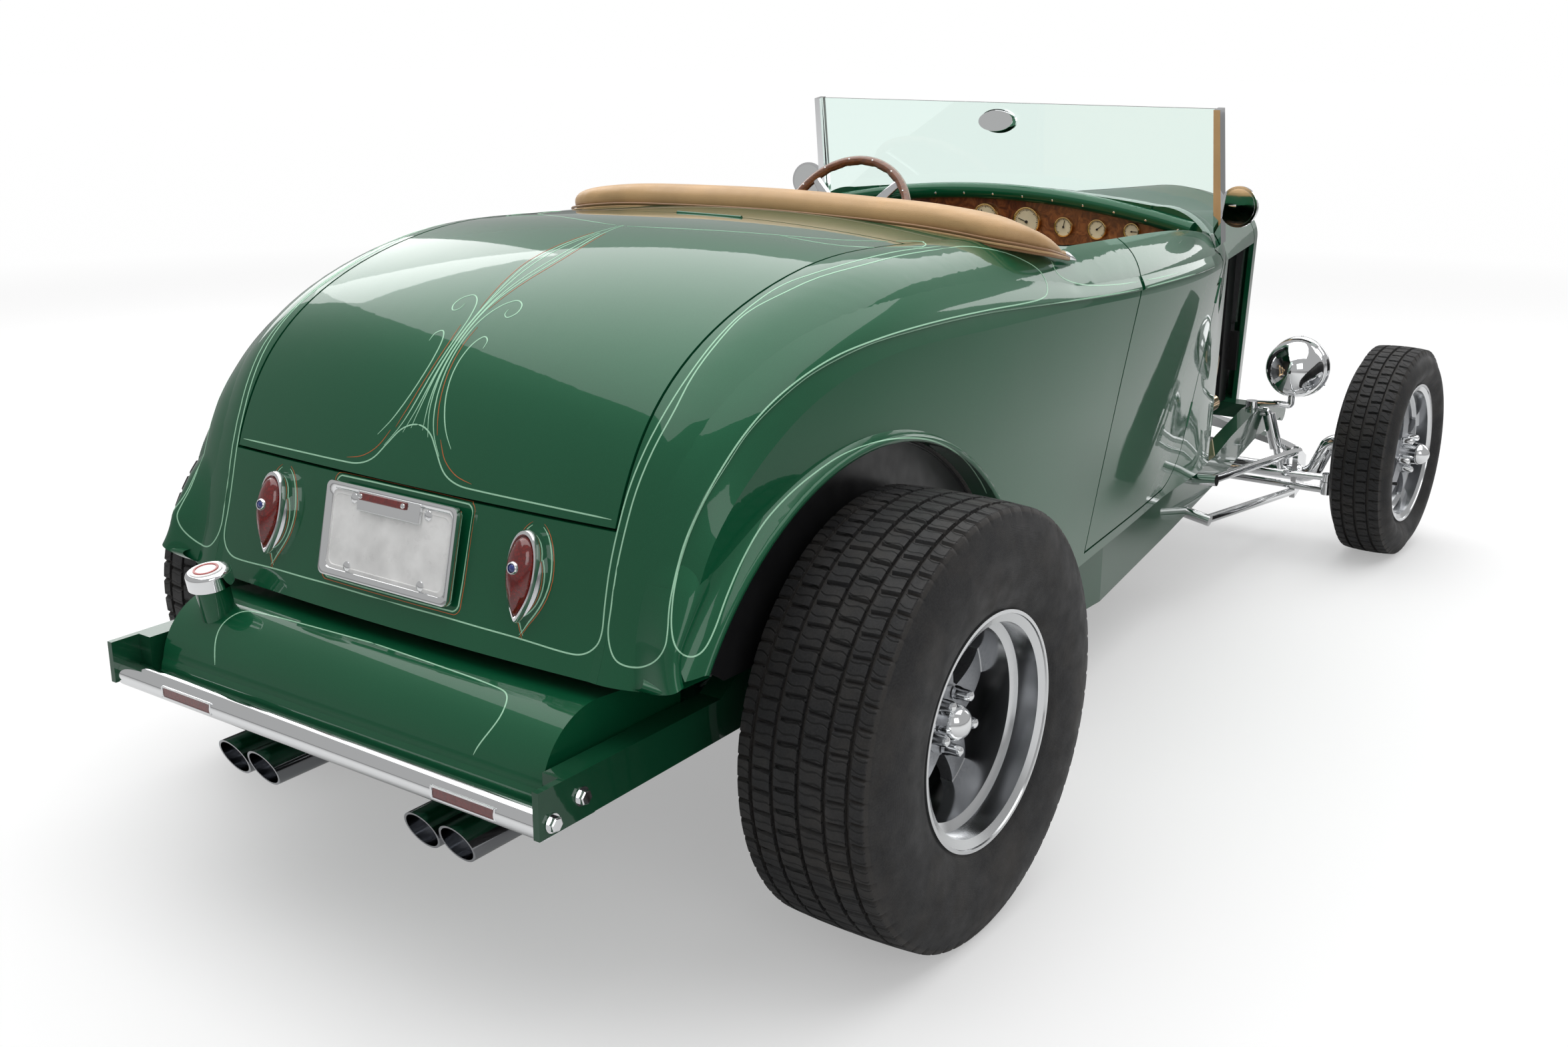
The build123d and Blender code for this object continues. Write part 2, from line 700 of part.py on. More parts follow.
half = rear_rim_width / 2
face = half - rear_spoke_inset
rim = rear_rim_radius
with BuildPart() as wheel_rear_right:
    turned(
        rear_hub,
        (face - 46, 46), (face, 46), ((face - 2, 90), (face - 26, 182)), (face - 52, 182),
        ((face - 34, 110), (face - 46, 60)),
    )
    with BuildSketch(Plane.YZ.offset(rear_centre_x - half)):
        with Locations((rear_axle_y, rear_tyre_radius)):
            Circle(64)
            with PolarLocations(0, spoke_count, start_angle=90):
                Polygon((30, -34), (rim - 16, -24), (rim - 16, 24), (30, 34), align=None)
    extrude(amount=2 * half, mode=Mode.INTERSECT)
    turned(
        rear_hub,
        (half, rim), (half - 7, rim), (half - 9, 192), (half - 54, 192), (half - 62, 184),
        (face - 20, 184), (face - 30, 192), (-half + 9, 192), (-half + 7, rim), (-half, rim),
        (-half, 186), (face - 50, 184), (face - 48, 168), (half - 56, 168), (half - 48, 184),
        (half - 9, 184), (half - 3, 199), (half, 200),
    )
    turned(
        rear_hub,
        (-28, spindle_radius + running_gap), (face - 20, spindle_radius + running_gap), (face - 20, 0),
        (face + 52, 0), ((face + 44, 22), (face + 26, wheel_cap_radius)), (face + 4, wheel_cap_radius),
        (face + 4, hub_radius), (-28, hub_radius),
    )
wheel_rear_right.part.label = "wheel_rear_right"

# Front tyres and wheels
bead_half = front_rim_width / 2 - 9 - bead_gap
side_half = front_tyre_width / 2
tread_half = front_tread_width / 2
front_hub = (front_centre_x, front_axle_y, front_tyre_radius)
with BuildPart() as tyre_front_right:
    r = front_tyre_radius
    turned(
        front_hub,
        (-bead_half, 192 + bead_gap), (bead_half, 192 + bead_gap), (bead_half, 206.6),
        ((side_half, 250), (tread_half + 3, r - 18)), ((tread_half - 1, r - 8), (tread_half - 10, r - 3)),
        ((0, r), (-tread_half + 10, r - 3)), ((-tread_half + 1, r - 8), (-tread_half - 3, r - 18)),
        ((-side_half, 250), (-bead_half, 206.6)),
    )
tyre_front_right.part.label = "tyre_front_right"

half = front_rim_width / 2
face = half - front_spoke_inset
rim = front_rim_radius
disc_x = -36
with BuildPart() as wheel_front_right:
    turned(
        front_hub,
        (face - 30, 40), (face + 6, 40), ((face + 8, 90), (face - 12, 186)), (face - 34, 186),
        ((face - 14, 100), (face - 30, 56)),
    )
    with BuildSketch(Plane.YZ.offset(front_centre_x - half)):
        with Locations((front_axle_y, front_tyre_radius)):
            Circle(60)
            with PolarLocations(0, spoke_count, start_angle=90):
                Polygon((30, -30), (rim - 14, -17), (rim - 14, 17), (30, 30), align=None)
    extrude(amount=2 * half, mode=Mode.INTERSECT)
    turned(
        front_hub,
        (half, rim), (half - 6, rim), (half - 8, 192), (half - 46, 192), (half - 54, 176),
        (-half + 30, 176), (-half + 20, 192), (-half + 9, 192), (-half + 7, rim), (-half, rim),
        (-half, 186), (-half + 22, 184), (-half + 30, 168), (half - 50, 168), (half - 42, 184),
        (half - 9, 184), (half - 3, 197), (half, 198),
    )
    turned(
        front_hub,
        (disc_x, spindle_radius + running_gap), (face - 10, spindle_radius + running_gap), (face - 10, 0),
        (face + 84, 0), ((face + 74, 22), (face + 50, wheel_cap_radius)), (face + 8, wheel_cap_radius),
        (face + 8, hub_radius), (disc_x + disc_thickness, hub_radius),
        (disc_x + disc_thickness, disc_radius), (disc_x, disc_radius),
    )
wheel_front_right.part.label = "wheel_front_right"

# Rear axle
axle_tube = 36
ladder_x = 400
drum_out = rear_centre_x - 28 - running_gap
with BuildPart() as rear_axle:
    bar((-592, rear_axle_y, rear_tyre_radius), (592, rear_axle_y, rear_tyre_radius), axle_tube)
    for side in (-1, 1):
        y, z = rear_axle_y, rear_tyre_radius
        bar((side * 592, y, z), (side * drum_out, y, z), 132)
        bar((side * 600, y, z), (side * (rear_centre_x + 8), y, z), spindle_radius)
    with Locations((0, rear_axle_y, rear_tyre_radius)):
        Sphere(112)
    bar((0, rear_axle_y, rear_tyre_radius), (0, rear_axle_y + 200, rear_tyre_radius), 46)
    # Ladder bars to the frame
    for side in (-1, 1):
        x = side * ladder_x
        block((x, rear_axle_y + 30, rear_tyre_radius - 10), (24, 90, 190))
        bar((x, rear_axle_y + 30, rear_tyre_radius - 80), (x, -575, 266), 13)
        bar((x, rear_axle_y + 30, rear_tyre_radius + 60), (x, -700, 280), 13)
        near = inner_rail - seat_gap
        block((side * (ladder_x - 14 + near) / 2, -575, 292), (near - ladder_x + 14, 34, 136))
rear_axle.part.label = "rear_axle"

# Two sprung dampers stand on the rear axle and carry a bar between the rails
damper_x = 330
with BuildPart() as rear_dampers:
    top = rear_tyre_radius + 150
    for side in (-1, 1):
        x, y = side * damper_x, rear_axle_y
        bar((x, y, rear_tyre_radius + axle_tube + seat_gap), (x, y, top), 13)
        bar((x, y, rear_tyre_radius + axle_tube + 22), (x, y, top - 34), 30)
    end = inner_rail - seat_gap
    bar((-end, rear_axle_y, top - 40), (end, rear_axle_y, top - 40), 14)
    add(rear_axle.part, mode=Mode.SUBTRACT)
rear_dampers.part.label = "rear_dampers"

# Engine, plain, with the air cleaner that stands under the hood top
engine_rear_y = 905
engine_front_y = 1385
with BuildPart() as engine_block:
    with BuildSketch(Plane.XZ.offset(-engine_rear_y)):
        with BuildLine():
            trace((-105, 300), (105, 300), (120, 420), (236, 540), (176, 680), (92, 690),
                  (92, 738), (-92, 738), (-92, 690), (-176, 680), (-236, 540), (-120, 420))
        make_face()
    extrude(amount=-(engine_front_y - engine_rear_y))
    bar((0, 1130, 730), (0, 1130, 800), 48)
    bar((0, 1130, 800), (0, 1130, 858), 150)
    for side in (-1, 1):
        inner = rail_x(1160) - rail_width - seat_gap
        block((side * (inner + 110) / 2, 1130, 345), (inner - 110, 60, 36))
engine_block.part.label = "engine_block"

# Gearbox and shaft back to the axle
shaft_radius = 34
with BuildPart() as driveline:
    with BuildSketch(Plane(origin=(0, engine_rear_y - seat_gap, 420), z_dir=(0, -1, 0))) as bell:
        Circle(104)
    with BuildSketch(Plane(origin=(0, 700, 400), z_dir=(0, -1, 0))) as bell_end:
        Circle(82)
    with BuildSketch(Plane(origin=(0, 330, 385), z_dir=(0, -1, 0))) as tail_end:
        Circle(60)
    loft([bell.sketch, bell_end.sketch, tail_end.sketch], ruled=True)
    bar((0, 340, 385), (0, rear_axle_y + 200 + seat_gap, rear_tyre_radius), shaft_radius)
driveline.part.label = "driveline"

# Exhaust: headers, pipes and silencers, and four slant-cut tips
port_ys = (1000, 1080, 1160, 1240)
header_x = 279
pipe_z = 326
tip_xs = (197, 276)
tip_radius = 36
with BuildPart() as headers:
    for side in (-1, 1):
        for y in port_ys:
            tube([(side * 206.5, y, 610), (side * header_x, y, 604), (side * header_x, y - 30, 450)],
                 32, 17)
        bar((side * header_x, port_ys[-1] + 5, 446), (side * header_x, port_ys[0] - 32, 436), 26)
        tube([(side * header_x, port_ys[0] - 20, 436), (side * header_x, 925, 430),
              (side * 272, 880, pipe_z), (side * 262, 640, pipe_z)], (32, 32), 20)
    add(engine_block.part, mode=Mode.SUBTRACT)
headers.part.label = "headers"

tip_dir = Vector(0, -1, -0.018).normalized()
with BuildPart() as exhaust:
    for side in (-1, 1):
        bar((side * 262, 639.3, pipe_z), (side * 240, -252, pipe_z - 16), 20)
        bar((side * 240, -250, pipe_z - 22), (side * 240, -700, pipe_z - 22), 52)
        for x in tip_xs:
            start = Vector(side * x, -900, 284)
            tube([(side * (240 + (x - 240) * 0.5), -690, 300), start, start + tip_dir * 760],
                 300, 20)
            bar(start + tip_dir * 700, start + tip_dir * 960, tip_radius)
    # Tips are open and cut on the slant
    for side in (-1, 1):
        for x in tip_xs:
            start = Vector(side * x, -900, 284)
            bar(start + tip_dir * 830, start + tip_dir * 1000, tip_radius - 4, mode=Mode.SUBTRACT)
    side_slab(-400, 400, (-1758, 180), (-1836, 360), (-1900, 360), (-1900, 180),
              mode=Mode.SUBTRACT)
exhaust.part.label = "exhaust"

# Radiator with its shroud
radiator_low = 405
with BuildPart() as radiator:
    block((0, 1466, (radiator_low + 945) / 2), (456, 56, 945 - radiator_low))
    block((0, shell_rear_y - seat_gap - 8, 560), (506, 16, 120))
    bar((0, 1438.5, 640), (0, 1416, 640), 190)
radiator.part.label = "radiator"


def shell_outline(y, half_low, half_top, top, inset):
    """Front outline of the radiator shell at one place along the car, drawn in by inset."""
    low, side_z, corner_z = 394 + seat_gap + inset, 892, 984
    with BuildSketch(Plane(origin=(0, y, 0), x_dir=(1, 0, 0), z_dir=(0, -1, 0))) as outline:
        with BuildLine():
            half_l, half_t, cap = half_low - inset, half_top - inset, top - inset
            corner_x, corner = half_top * 0.77 - 0.5 * inset, corner_z - 0.9 * inset
            trace(
                (-half_l, low), (half_l, low), (half_t, side_z),
                ((half_t * 0.945, side_z + 56 - 0.5 * inset), (corner_x, corner)),
                ((0, cap), (-corner_x, corner)),
                ((-half_t * 0.945, side_z + 56 - 0.5 * inset), (-half_t, side_z)),
            )
        make_face()
    return outline.sketch


shell_rear = (shell_rear_y, 258, 274, shell_top_z)
shell_front = (shell_front_y, 236, 252, shell_top_z - 12)
with BuildPart() as radiator_shell:
    loft([shell_outline(*shell_rear, 0), shell_outline(*shell_front, 0)], ruled=True)
    rear_hollow = shell_outline(shell_rear_y - 1, *shell_rear[1:], shell_wall)
    front_hollow = shell_outline(shell_front_y - 16, *shell_front[1:], shell_wall)
    loft([rear_hollow, front_hollow], ruled=True, mode=Mode.SUBTRACT)
    mouth_rear = shell_outline(shell_front_y - 17, *shell_front[1:], 44)
    mouth_front = shell_outline(shell_front_y + 1, *shell_front[1:], 44)
    loft([mouth_rear, mouth_front], ruled=True, mode=Mode.SUBTRACT)
radiator_shell.part.label = "radiator_shell"

# Grille: upright bars in a frame, seated behind the shell's mouth
bar_pitch = 17
with BuildPart() as grille:
    extrude(shell_outline(shell_front_y - 16 - seat_gap, *shell_front[1:], 30), amount=8)
    with BuildSketch(Plane.XZ.offset(-(shell_front_y - 10))):
        for i in range(-11, 12):
            with Locations((i * bar_pitch, 700)):
                Rectangle(bar_pitch - 5, 545)
    extrude(amount=40, mode=Mode.SUBTRACT)
grille.part.label = "grille"

# Hood top, from the cowl to the shell
hood_wall = 10


def hood_outline(y, edge, shoulder, seam, crown):
    """Arch of the hood top at one place along the car, a thin band open below."""
    wall = hood_wall
    with BuildSketch(Plane(origin=(0, y, 0), x_dir=(1, 0, 0), z_dir=(0, -1, 0))) as outline:
        with BuildLine():
            (ex, ez), (hx, hz), (sx, sz) = edge, shoulder, seam
            trace(
                (ex - wall, ez), (ex, ez), ((hx, hz), (sx, sz)), ((0, crown), (-sx, sz)),
                ((-hx, hz), (-ex, ez)), (-ex + wall, ez),
                ((-hx + 0.75 * wall, hz - 0.75 * wall), (-sx + 0.3 * wall, sz - wall)),
                ((0, crown - wall), (sx - 0.3 * wall, sz - wall)),
                ((hx - 0.75 * wall, hz - 0.75 * wall), (ex - wall, ez)),
            )
        make_face()
    return outline.sketch


with BuildPart() as hood_top:
    loft([
        hood_outline(cowl_front_y + seat_gap, (435, 916), (391, 986), (289, 1036), 1066),
        hood_outline(shell_rear_y - 3, (274, 890), (259, 948), (211, 984), shell_top_z),
    ], ruled=True)
hood_top.part.label = "hood_top"

# Headlamps on their stands
with BuildPart() as headlamp_right:
    bowl = lamp_radius - 2
    with BuildSketch(Plane(origin=(lamp_x, lamp_y, lamp_z), x_dir=(0, 1, 0), z_dir=(1, 0, 0))):
        with BuildLine():
            trace((-bowl, 0), (-bowl, 6), ((-52, 66), (0, bowl)), (18, bowl), (18, lamp_radius),
                  (34, lamp_radius), (34, bowl - 4), ((43, 44), (46, 6)), (46, 0))
        make_face()
    revolve(axis=Axis((lamp_x, lamp_y, lamp_z), (0, 1, 0)))
    # Stand from the top of the frame rail
    foot_x = rail_x(1425) - rail_width / 2
    bar((foot_x, 1425, 407.5), (foot_x, 1425, 428), 20)
    tube([(foot_x, 1425, 420), (418, 1428, 427), (lamp_x, lamp_y - 8, 424),
          (lamp_x, lamp_y - 8, lamp_z - lamp_radius + 8)], (30, 8), 10)
headlamp_right.part.label = "headlamp_right"

# Front axle with its drop, and the bosses for the kingpins
with BuildPart() as front_axle:
    y = front_axle_y
    tube([(-kingpin_x + 12, y, axle_end_z), (-549, y, axle_end_z), (-504, y, axle_centre_z),
          (504, y, axle_centre_z), (549, y, axle_end_z), (kingpin_x - 12, y, axle_end_z)],
         (34, 44, 44, 34), axle_radius)
    for side in (-1, 1):
        bar((side * kingpin_x, y, axle_end_z - 26), (side * kingpin_x, y, axle_end_z + 26),
            kingpin_boss)
        bar((side * kingpin_x, y, axle_end_z - 40), (side * kingpin_x, y, axle_end_z + 40),
            kingpin_radius + running_gap, mode=Mode.SUBTRACT)
front_axle.part.label = "front_axle"

# Transverse leaf spring under the front crossmember, with its shackles down to the axle
spring_half = 440
with BuildPart() as front_spring:
    with BuildSketch(Plane.XZ.offset(-front_axle_y + 24)):
        with BuildLine():
            trace((-spring_half, 262), ((0, 322), (spring_half, 262)), (spring_half, 276),
                  ((0, 349.7), (-spring_half, 276)))
        make_face()
    extrude(amount=-48)
    for side in (-1, 1):
        bar((side * (spring_half - 20), front_axle_y, axle_centre_z + axle_radius + seat_gap),
            (side * (spring_half - 20), front_axle_y, 270), 12)
front_spring.part.label = "front_spring"

# Four leading bars from brackets on the rails to plates on the axle
with BuildPart() as four_bars:
    for side in (-1, 1):
        bar((side * 489, 735, 349), (side * 470, 1500, 275), bar_radius)
        bar((side * 494, 696, 248), (side * 462, 1500, 148), bar_radius)
        bar((side * 430, 735, 343), (side * 505, 735, 350), 15)
        bar((side * 436, 696, 262), (side * 510, 696, 248), 15)
        side_slab(side * 466 - 8, side * 466 + 8, (1486, 130), (1566, 160), (1566, 250), (1486, 292))
    add(frame_rails.part, mode=Mode.SUBTRACT)
    bar((-540, front_axle_y, axle_centre_z), (540, front_axle_y, axle_centre_z),
        axle_radius + seat_gap, mode=Mode.SUBTRACT)
four_bars.part.label = "four_bars"

with BuildPart() as front_shocks:
    for side in (-1, 1):
        low = Vector(side * 420, front_axle_y - 46, 216)
        high = Vector(side * 372, front_axle_y - 62, 392)
        bar(low, high, 10)
        bar(low + (high - low) * 0.35, high - (high - low) * 0.06, 19)
        bar(low, (low.X, front_axle_y - axle_radius + 6, low.Z - 6), 9)
        bar(high, (high.X - side * 60, high.Y, high.Z), 9)
    add(frame_rails.part, mode=Mode.SUBTRACT)
    bar((-540, front_axle_y, axle_centre_z), (540, front_axle_y, axle_centre_z),
        axle_radius + seat_gap, mode=Mode.SUBTRACT)
front_shocks.part.label = "front_shocks"

# Steering knuckles with kingpin, spindle, brake caliper and arm
arm_low, arm_high = 201, 217
with BuildPart() as knuckle_right:
    x, y, z = kingpin_x, front_axle_y, axle_end_z
    bar((x, y, z - 46), (x, y, z + 46), kingpin_radius)
    for low in (z - 46, z + 26 + seat_gap):
        bar((x, y, low), (x, y, low + 20 - seat_gap), kingpin_boss)
        block(((x + 640) / 2, y, low + 10 - seat_gap / 2), (640 - x, 40, 20 - seat_gap))
    block((640, y, z), (22, 46, 92))
    spindle_end = front_centre_x + front_rim_width / 2 - front_spoke_inset - 14
    bar((640, y, z), (spindle_end, y, z), spindle_radius)
    # Caliper, behind the disc's rear edge
    gap = 4
    disc_low = front_centre_x + disc_x
    block(((640 + disc_low) / 2, y - 124, z + 10), (disc_low - gap - 640, 60, 100))
    block((disc_low + disc_thickness / 2, y - 147, z + 10), (60, 8, 90))
    block((640, y - 86, z + 10), (18, 150, 40))
    arm_z = (arm_low + arm_high) / 2
    tube([(x, y - 16, z - 37), (x, y - 48, arm_z), (x, tie_rod_y, arm_z)], 16, 7)
    bar((x, tie_rod_y, arm_low), (x, tie_rod_y, arm_high), 20)
knuckle_right.part.label = "knuckle_right"

# Tie rod, drag link and pitman arm, which keep the two knuckles parallel
with BuildPart() as tie_rod:
    bar((-kingpin_x, tie_rod_y, tie_rod_z), (kingpin_x, tie_rod_y, tie_rod_z), rod_radius)
    for side in (-1, 1):
        bar((side * kingpin_x, tie_rod_y, tie_rod_z - 12),
            (side * kingpin_x, tie_rod_y, arm_low - seat_gap), 16)
tie_rod.part.label = "tie_rod"

pitman_x = -285
pitman_y = 1400
link_z = drag_link_z
with BuildPart() as drag_link:
    far = (pitman_x, pitman_y - (front_axle_y - tie_rod_y), link_z)
    near = (kingpin_x, tie_rod_y, link_z)
    bar(far, near, rod_radius)
    bar((near[0], near[1], arm_high + seat_gap), (near[0], near[1], link_z + 12), 16)
    bar((far[0], far[1], link_z - 12), (far[0], far[1], link_z + 12), 16)
drag_link.part.label = "drag_link"

with BuildPart() as pitman_arm:
    low = link_z + 12 + seat_gap
    y_end = pitman_y - (front_axle_y - tie_rod_y)
    bar((pitman_x, pitman_y, low), (pitman_x, pitman_y, low + 14), 20)
    bar((pitman_x, y_end, low), (pitman_x, y_end, low + 14), 16)
    block((pitman_x, (pitman_y + y_end) / 2, low + 7), (24, pitman_y - y_end, 14))
pitman_arm.part.label = "pitman_arm"

with BuildPart() as steering_box:
    low = link_z + 12 + seat_gap + 14 + seat_gap
    bar((pitman_x, pitman_y, low), (pitman_x, pitman_y, 300), 14)
    block((pitman_x - 10, pitman_y - 10, 340), (96, 120, 90))
    add(frame_rails.part, mode=Mode.SUBTRACT)
steering_box.part.label = "steering_box"

# Column from the wheel through the firewall, and the shaft on to the steering box
with BuildPart() as steering_column:
    column_end = wheel_centre + column_dir * 730
    bar(wheel_centre + column_dir * (14 + running_gap), column_end, column_radius)
    tube([column_end - column_dir * 10, (-336, 1110, 500),
          (pitman_x - 12, pitman_y - 68, 352)], 40, 10)
    add(steering_box.part, mode=Mode.SUBTRACT)
steering_column.part.label = "steering_column"

for name, node in (
    ("door_left", door_right), ("side_mirror_left", mirror_right),
    ("tyre_rear_left", tyre_rear_right), ("wheel_rear_left", wheel_rear_right),
    ("tyre_front_left", tyre_front_right), ("wheel_front_left", wheel_front_right),
    ("headlamp_left", headlamp_right),
    ("knuckle_left", knuckle_right),
):
    with BuildPart() as left:
        mirror(node.part, about=Plane.YZ)
    left.part.label = name
    export_step(left.part, f"parts/{name}.step")
for node in (
    body_quarters, cowl, door_right, deck_lid, tail_panel, floor_pan, trunk_floor,
    seat_cushion, seat_back, cockpit_pad, dash_panel, gauge_set, windshield_posts,
    windshield_glass, mirror_inner, mirror_right, steering_wheel, steering_column, steering_box,
    frame_rails, crossmembers, rear_bumper, bumper_lenses, fuel_tank, fuel_cap, tail_lamps, number_plate,
    tyre_rear_right, wheel_rear_right, tyre_front_right, wheel_front_right, rear_axle,
    rear_dampers, engine_block, driveline, headers, exhaust, radiator, radiator_shell, grille,
    hood_top, headlamp_right, front_axle, front_spring, four_bars, front_shocks, knuckle_right,
    tie_rod, drag_link, pitman_arm,
):
    export_step(node.part, f"parts/{node.part.label}.step")
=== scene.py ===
"""Dresses a packed highboy street rod roadster: paint, pinstripes, tyres, trim and light."""
import logging
import math
from dataclasses import dataclass
from enum import Enum

import bmesh
import bpy
from mathutils import Matrix, Vector
from mathutils.bvhtree import BVHTree
from mathutils.geometry import interpolate_bezier


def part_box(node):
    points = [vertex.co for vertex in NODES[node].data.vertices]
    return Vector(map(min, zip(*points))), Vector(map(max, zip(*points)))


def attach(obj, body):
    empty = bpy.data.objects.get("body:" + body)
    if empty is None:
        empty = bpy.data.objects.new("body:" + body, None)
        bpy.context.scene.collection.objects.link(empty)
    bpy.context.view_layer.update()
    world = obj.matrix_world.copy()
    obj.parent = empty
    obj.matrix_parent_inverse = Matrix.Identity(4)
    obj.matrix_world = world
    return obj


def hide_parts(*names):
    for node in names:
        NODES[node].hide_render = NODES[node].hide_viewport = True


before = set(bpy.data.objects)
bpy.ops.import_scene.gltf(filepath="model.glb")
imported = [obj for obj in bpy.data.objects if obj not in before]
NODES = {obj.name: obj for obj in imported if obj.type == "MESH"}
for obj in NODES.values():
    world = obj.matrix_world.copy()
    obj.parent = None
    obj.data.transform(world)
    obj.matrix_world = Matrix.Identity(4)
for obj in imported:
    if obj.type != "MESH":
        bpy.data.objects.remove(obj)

log = logging.getLogger("roadster")
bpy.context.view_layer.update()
Colour = tuple[float, float, float]
Point = tuple[float, float, float]
Pixels = tuple[tuple[float, float], ...]
Socket = bpy.types.NodeSocket


class Side(Enum):
    """A side of the car."""

    LEFT = -1
    RIGHT = 1

    @property
    def word(self) -> str:
        """The side's name as node names spell it."""
        return self.name.lower()


# ---- Shader graphs and finishes


def shade(colour: Colour, by: float) -> Colour:
    """The colour made darker or lighter, up to white."""
    return tuple(min(1.0, c * by) for c in colour)


class Graph:
    """Builds one material's node tree round a Principled shader."""

    def __init__(self, name: str) -> None:
        """Starts an empty material of that name."""
        self.material = bpy.data.materials.new(name)
        self.material.use_nodes = True
        self.tree = self.material.node_tree
        self.shader = self.tree.nodes["Principled BSDF"]
        self._place = 0

    def set(self, **sockets: object) -> "Graph":
        """Sets constants on the shader's own sockets, words joined by underscores."""
        for words, value in sockets.items():
            name = words.replace("_", " ").title().replace("Ior", "IOR")
            constant = (*value, 1.0) if isinstance(value, tuple) else value
            self.shader.inputs[name].default_value = constant
        return self

    def node(self, kind: str, **values: object) -> bpy.types.Node:
        """Adds a node.

        Args:
            kind: the node's type without its ShaderNode prefix.
            values: input names to a constant or a socket, or a node's own settings.
        Returns:
            the node.
        """
        made = self.tree.nodes.new("ShaderNode" + kind)
        self._place += 1
        made.location = (-220 * (self._place % 5) - 300, -260 * (self._place // 5))
        for words, value in values.items():
            name = words.replace("_", " ").title()
            if name in made.inputs:
                self.plug(value, made.inputs[name])
            else:
                setattr(made, words, value)
        return made

    def plug(self, value: object, socket: Socket) -> None:
        """Links a socket to another, or sets the constant."""
        if isinstance(value, Socket):
            self.tree.links.new(value, socket)
        else:
            socket.default_value = value

    def drive(self, name: str, value: Socket) -> None:
        """Links a socket into one of the shader's inputs."""
        self.tree.links.new(value, self.shader.inputs[name])

    def place(self, scale: Point = (1, 1, 1), turn: Point = (0, 0, 0)) -> Socket:
        """Object coordinates, stretched and turned."""
        coords = self.node("TexCoord").outputs["Object"]
        return self.node("Mapping", vector=coords, scale=scale, rotation=turn).outputs[0]

    def noise(self, scale: float, detail: float = 3, rough: float = 0.5,
              at: Socket | None = None, warp: float = 0) -> Socket:
        """Fractal noise, 0 to 1."""
        made = self.node("TexNoise", scale=scale, detail=detail, roughness=rough, distortion=warp)
        self.plug(at or self.place(), made.inputs["Vector"])
        return made.outputs["Fac"]

    def cells(self, scale: float, at: Socket | None = None, out: str = "Distance") -> Socket:
        """Cell pattern."""
        made = self.node("TexVoronoi", scale=scale)
        self.plug(at or self.place(), made.inputs["Vector"])
        return made.outputs[out]

    def math(self, work: str, a: object, b: object = 0.0) -> Socket:
        """One arithmetic step."""
        made = self.node("Math", operation=work)
        self.plug(a, made.inputs[0])
        self.plug(b, made.inputs[1])
        return made.outputs[0]

    def ramp(self, value: Socket, *stops: tuple[float, Colour]) -> Socket:
        """Colour ramp through stops of place and colour."""
        made = self.node("ValToRGB")
        self.plug(value, made.inputs[0])
        elements = made.color_ramp.elements
        while len(elements) < len(stops):
            elements.new(0.5)
        for element, (where, colour) in zip(elements, stops):
            element.position = where
            element.color = (*colour, 1)
        return made.outputs[0]

    def tones(self, by: Socket, colour: Colour, low: float, high: float) -> Socket:
        """A colour that wanders between two shades of itself."""
        return self.ramp(by, (0.3, shade(colour, low)), (0.7, shade(colour, high)))

    def span(self, value: Socket, low: float, high: float,
             to_low: float = 0, to_high: float = 1) -> Socket:
        """Maps a stretch of values to another, clamped."""
        made = self.node("MapRange")
        for index, part in enumerate((value, low, high, to_low, to_high)):
            self.plug(part, made.inputs[index])
        return made.outputs[0]

    def mix(self, share: object, a: object, b: object) -> Socket:
        """Mixes two colours."""
        made = self.node("Mix", data_type="RGBA")
        self.plug(share, made.inputs["Factor"])
        for index, value in ((6, a), (7, b)):
            self.plug((*value, 1) if isinstance(value, tuple) else value, made.inputs[index])
        return made.outputs[2]

    def bump(self, height: Socket, depth: float, strength: float = 1.0,
             coat: bool = False) -> None:
        """Raises the surface by a pattern; depth is in metres."""
        made = self.node("Bump", strength=strength, distance=depth, height=height)
        self.drive("Normal", made.outputs[0])
        if coat:
            self.drive("Coat Normal", made.outputs[0])

    def offsets(self, y: float, z: float) -> tuple[Socket, Socket, Socket]:
        """Place across the car, and offsets from a line across it at that y and z."""
        split = self.node("SeparateXYZ", vector=self.place()).outputs
        return split[0], self.math("SUBTRACT", split[1], y), self.math("SUBTRACT", split[2], z)

    def length(self, a: Socket, b: Socket) -> Socket:
        """Length of an offset given by two parts at right angles."""
        return self.math("SQRT", self.math("ADD", self.math("MULTIPLY", a, a),
                                           self.math("MULTIPLY", b, b)))


class Finish:
    """A named finish that is built once and shared."""

    _made: dict[str, bpy.types.Material] = {}

    def graph(self) -> Graph:
        """Builds the node tree."""
        raise NotImplementedError

    @property
    def material(self) -> bpy.types.Material:
        """The finish's material, built on first use."""
        key = repr(self)
        if key not in Finish._made:
            Finish._made[key] = self.graph().material
        return Finish._made[key]


@dataclass(frozen=True)
class Paint(Finish):
    """Lacquer over a coloured base, with metal flake where it has any."""

    name: str
    colour: Colour
    flake: float = 0.0
    gloss: float = 0.03
    coat: float = 1.0

    def graph(self) -> Graph:
        """Base colour that varies a little, fine flake, and a clear coat."""
        g = Graph(self.name).set(roughness=0.42, coat_weight=self.coat, coat_roughness=self.gloss,
                                 coat_ior=1.42, specular_ior_level=0.12,
                                 metallic=0.25 if self.flake else 0.0)
        light = tuple(min(1.0, c * 1.22 + 0.004) for c in self.colour)
        body = g.tones(g.noise(2.2, 2), self.colour, 0.88, 1)
        if self.flake:
            spark = g.span(g.cells(1500, out="Color"), 0.55, 1.0, 0, self.flake)
            body = g.mix(spark, body, light)
        g.drive("Base Color", body)
        g.bump(g.noise(90, 2), 0.00006, 0.35, coat=True)
        return g


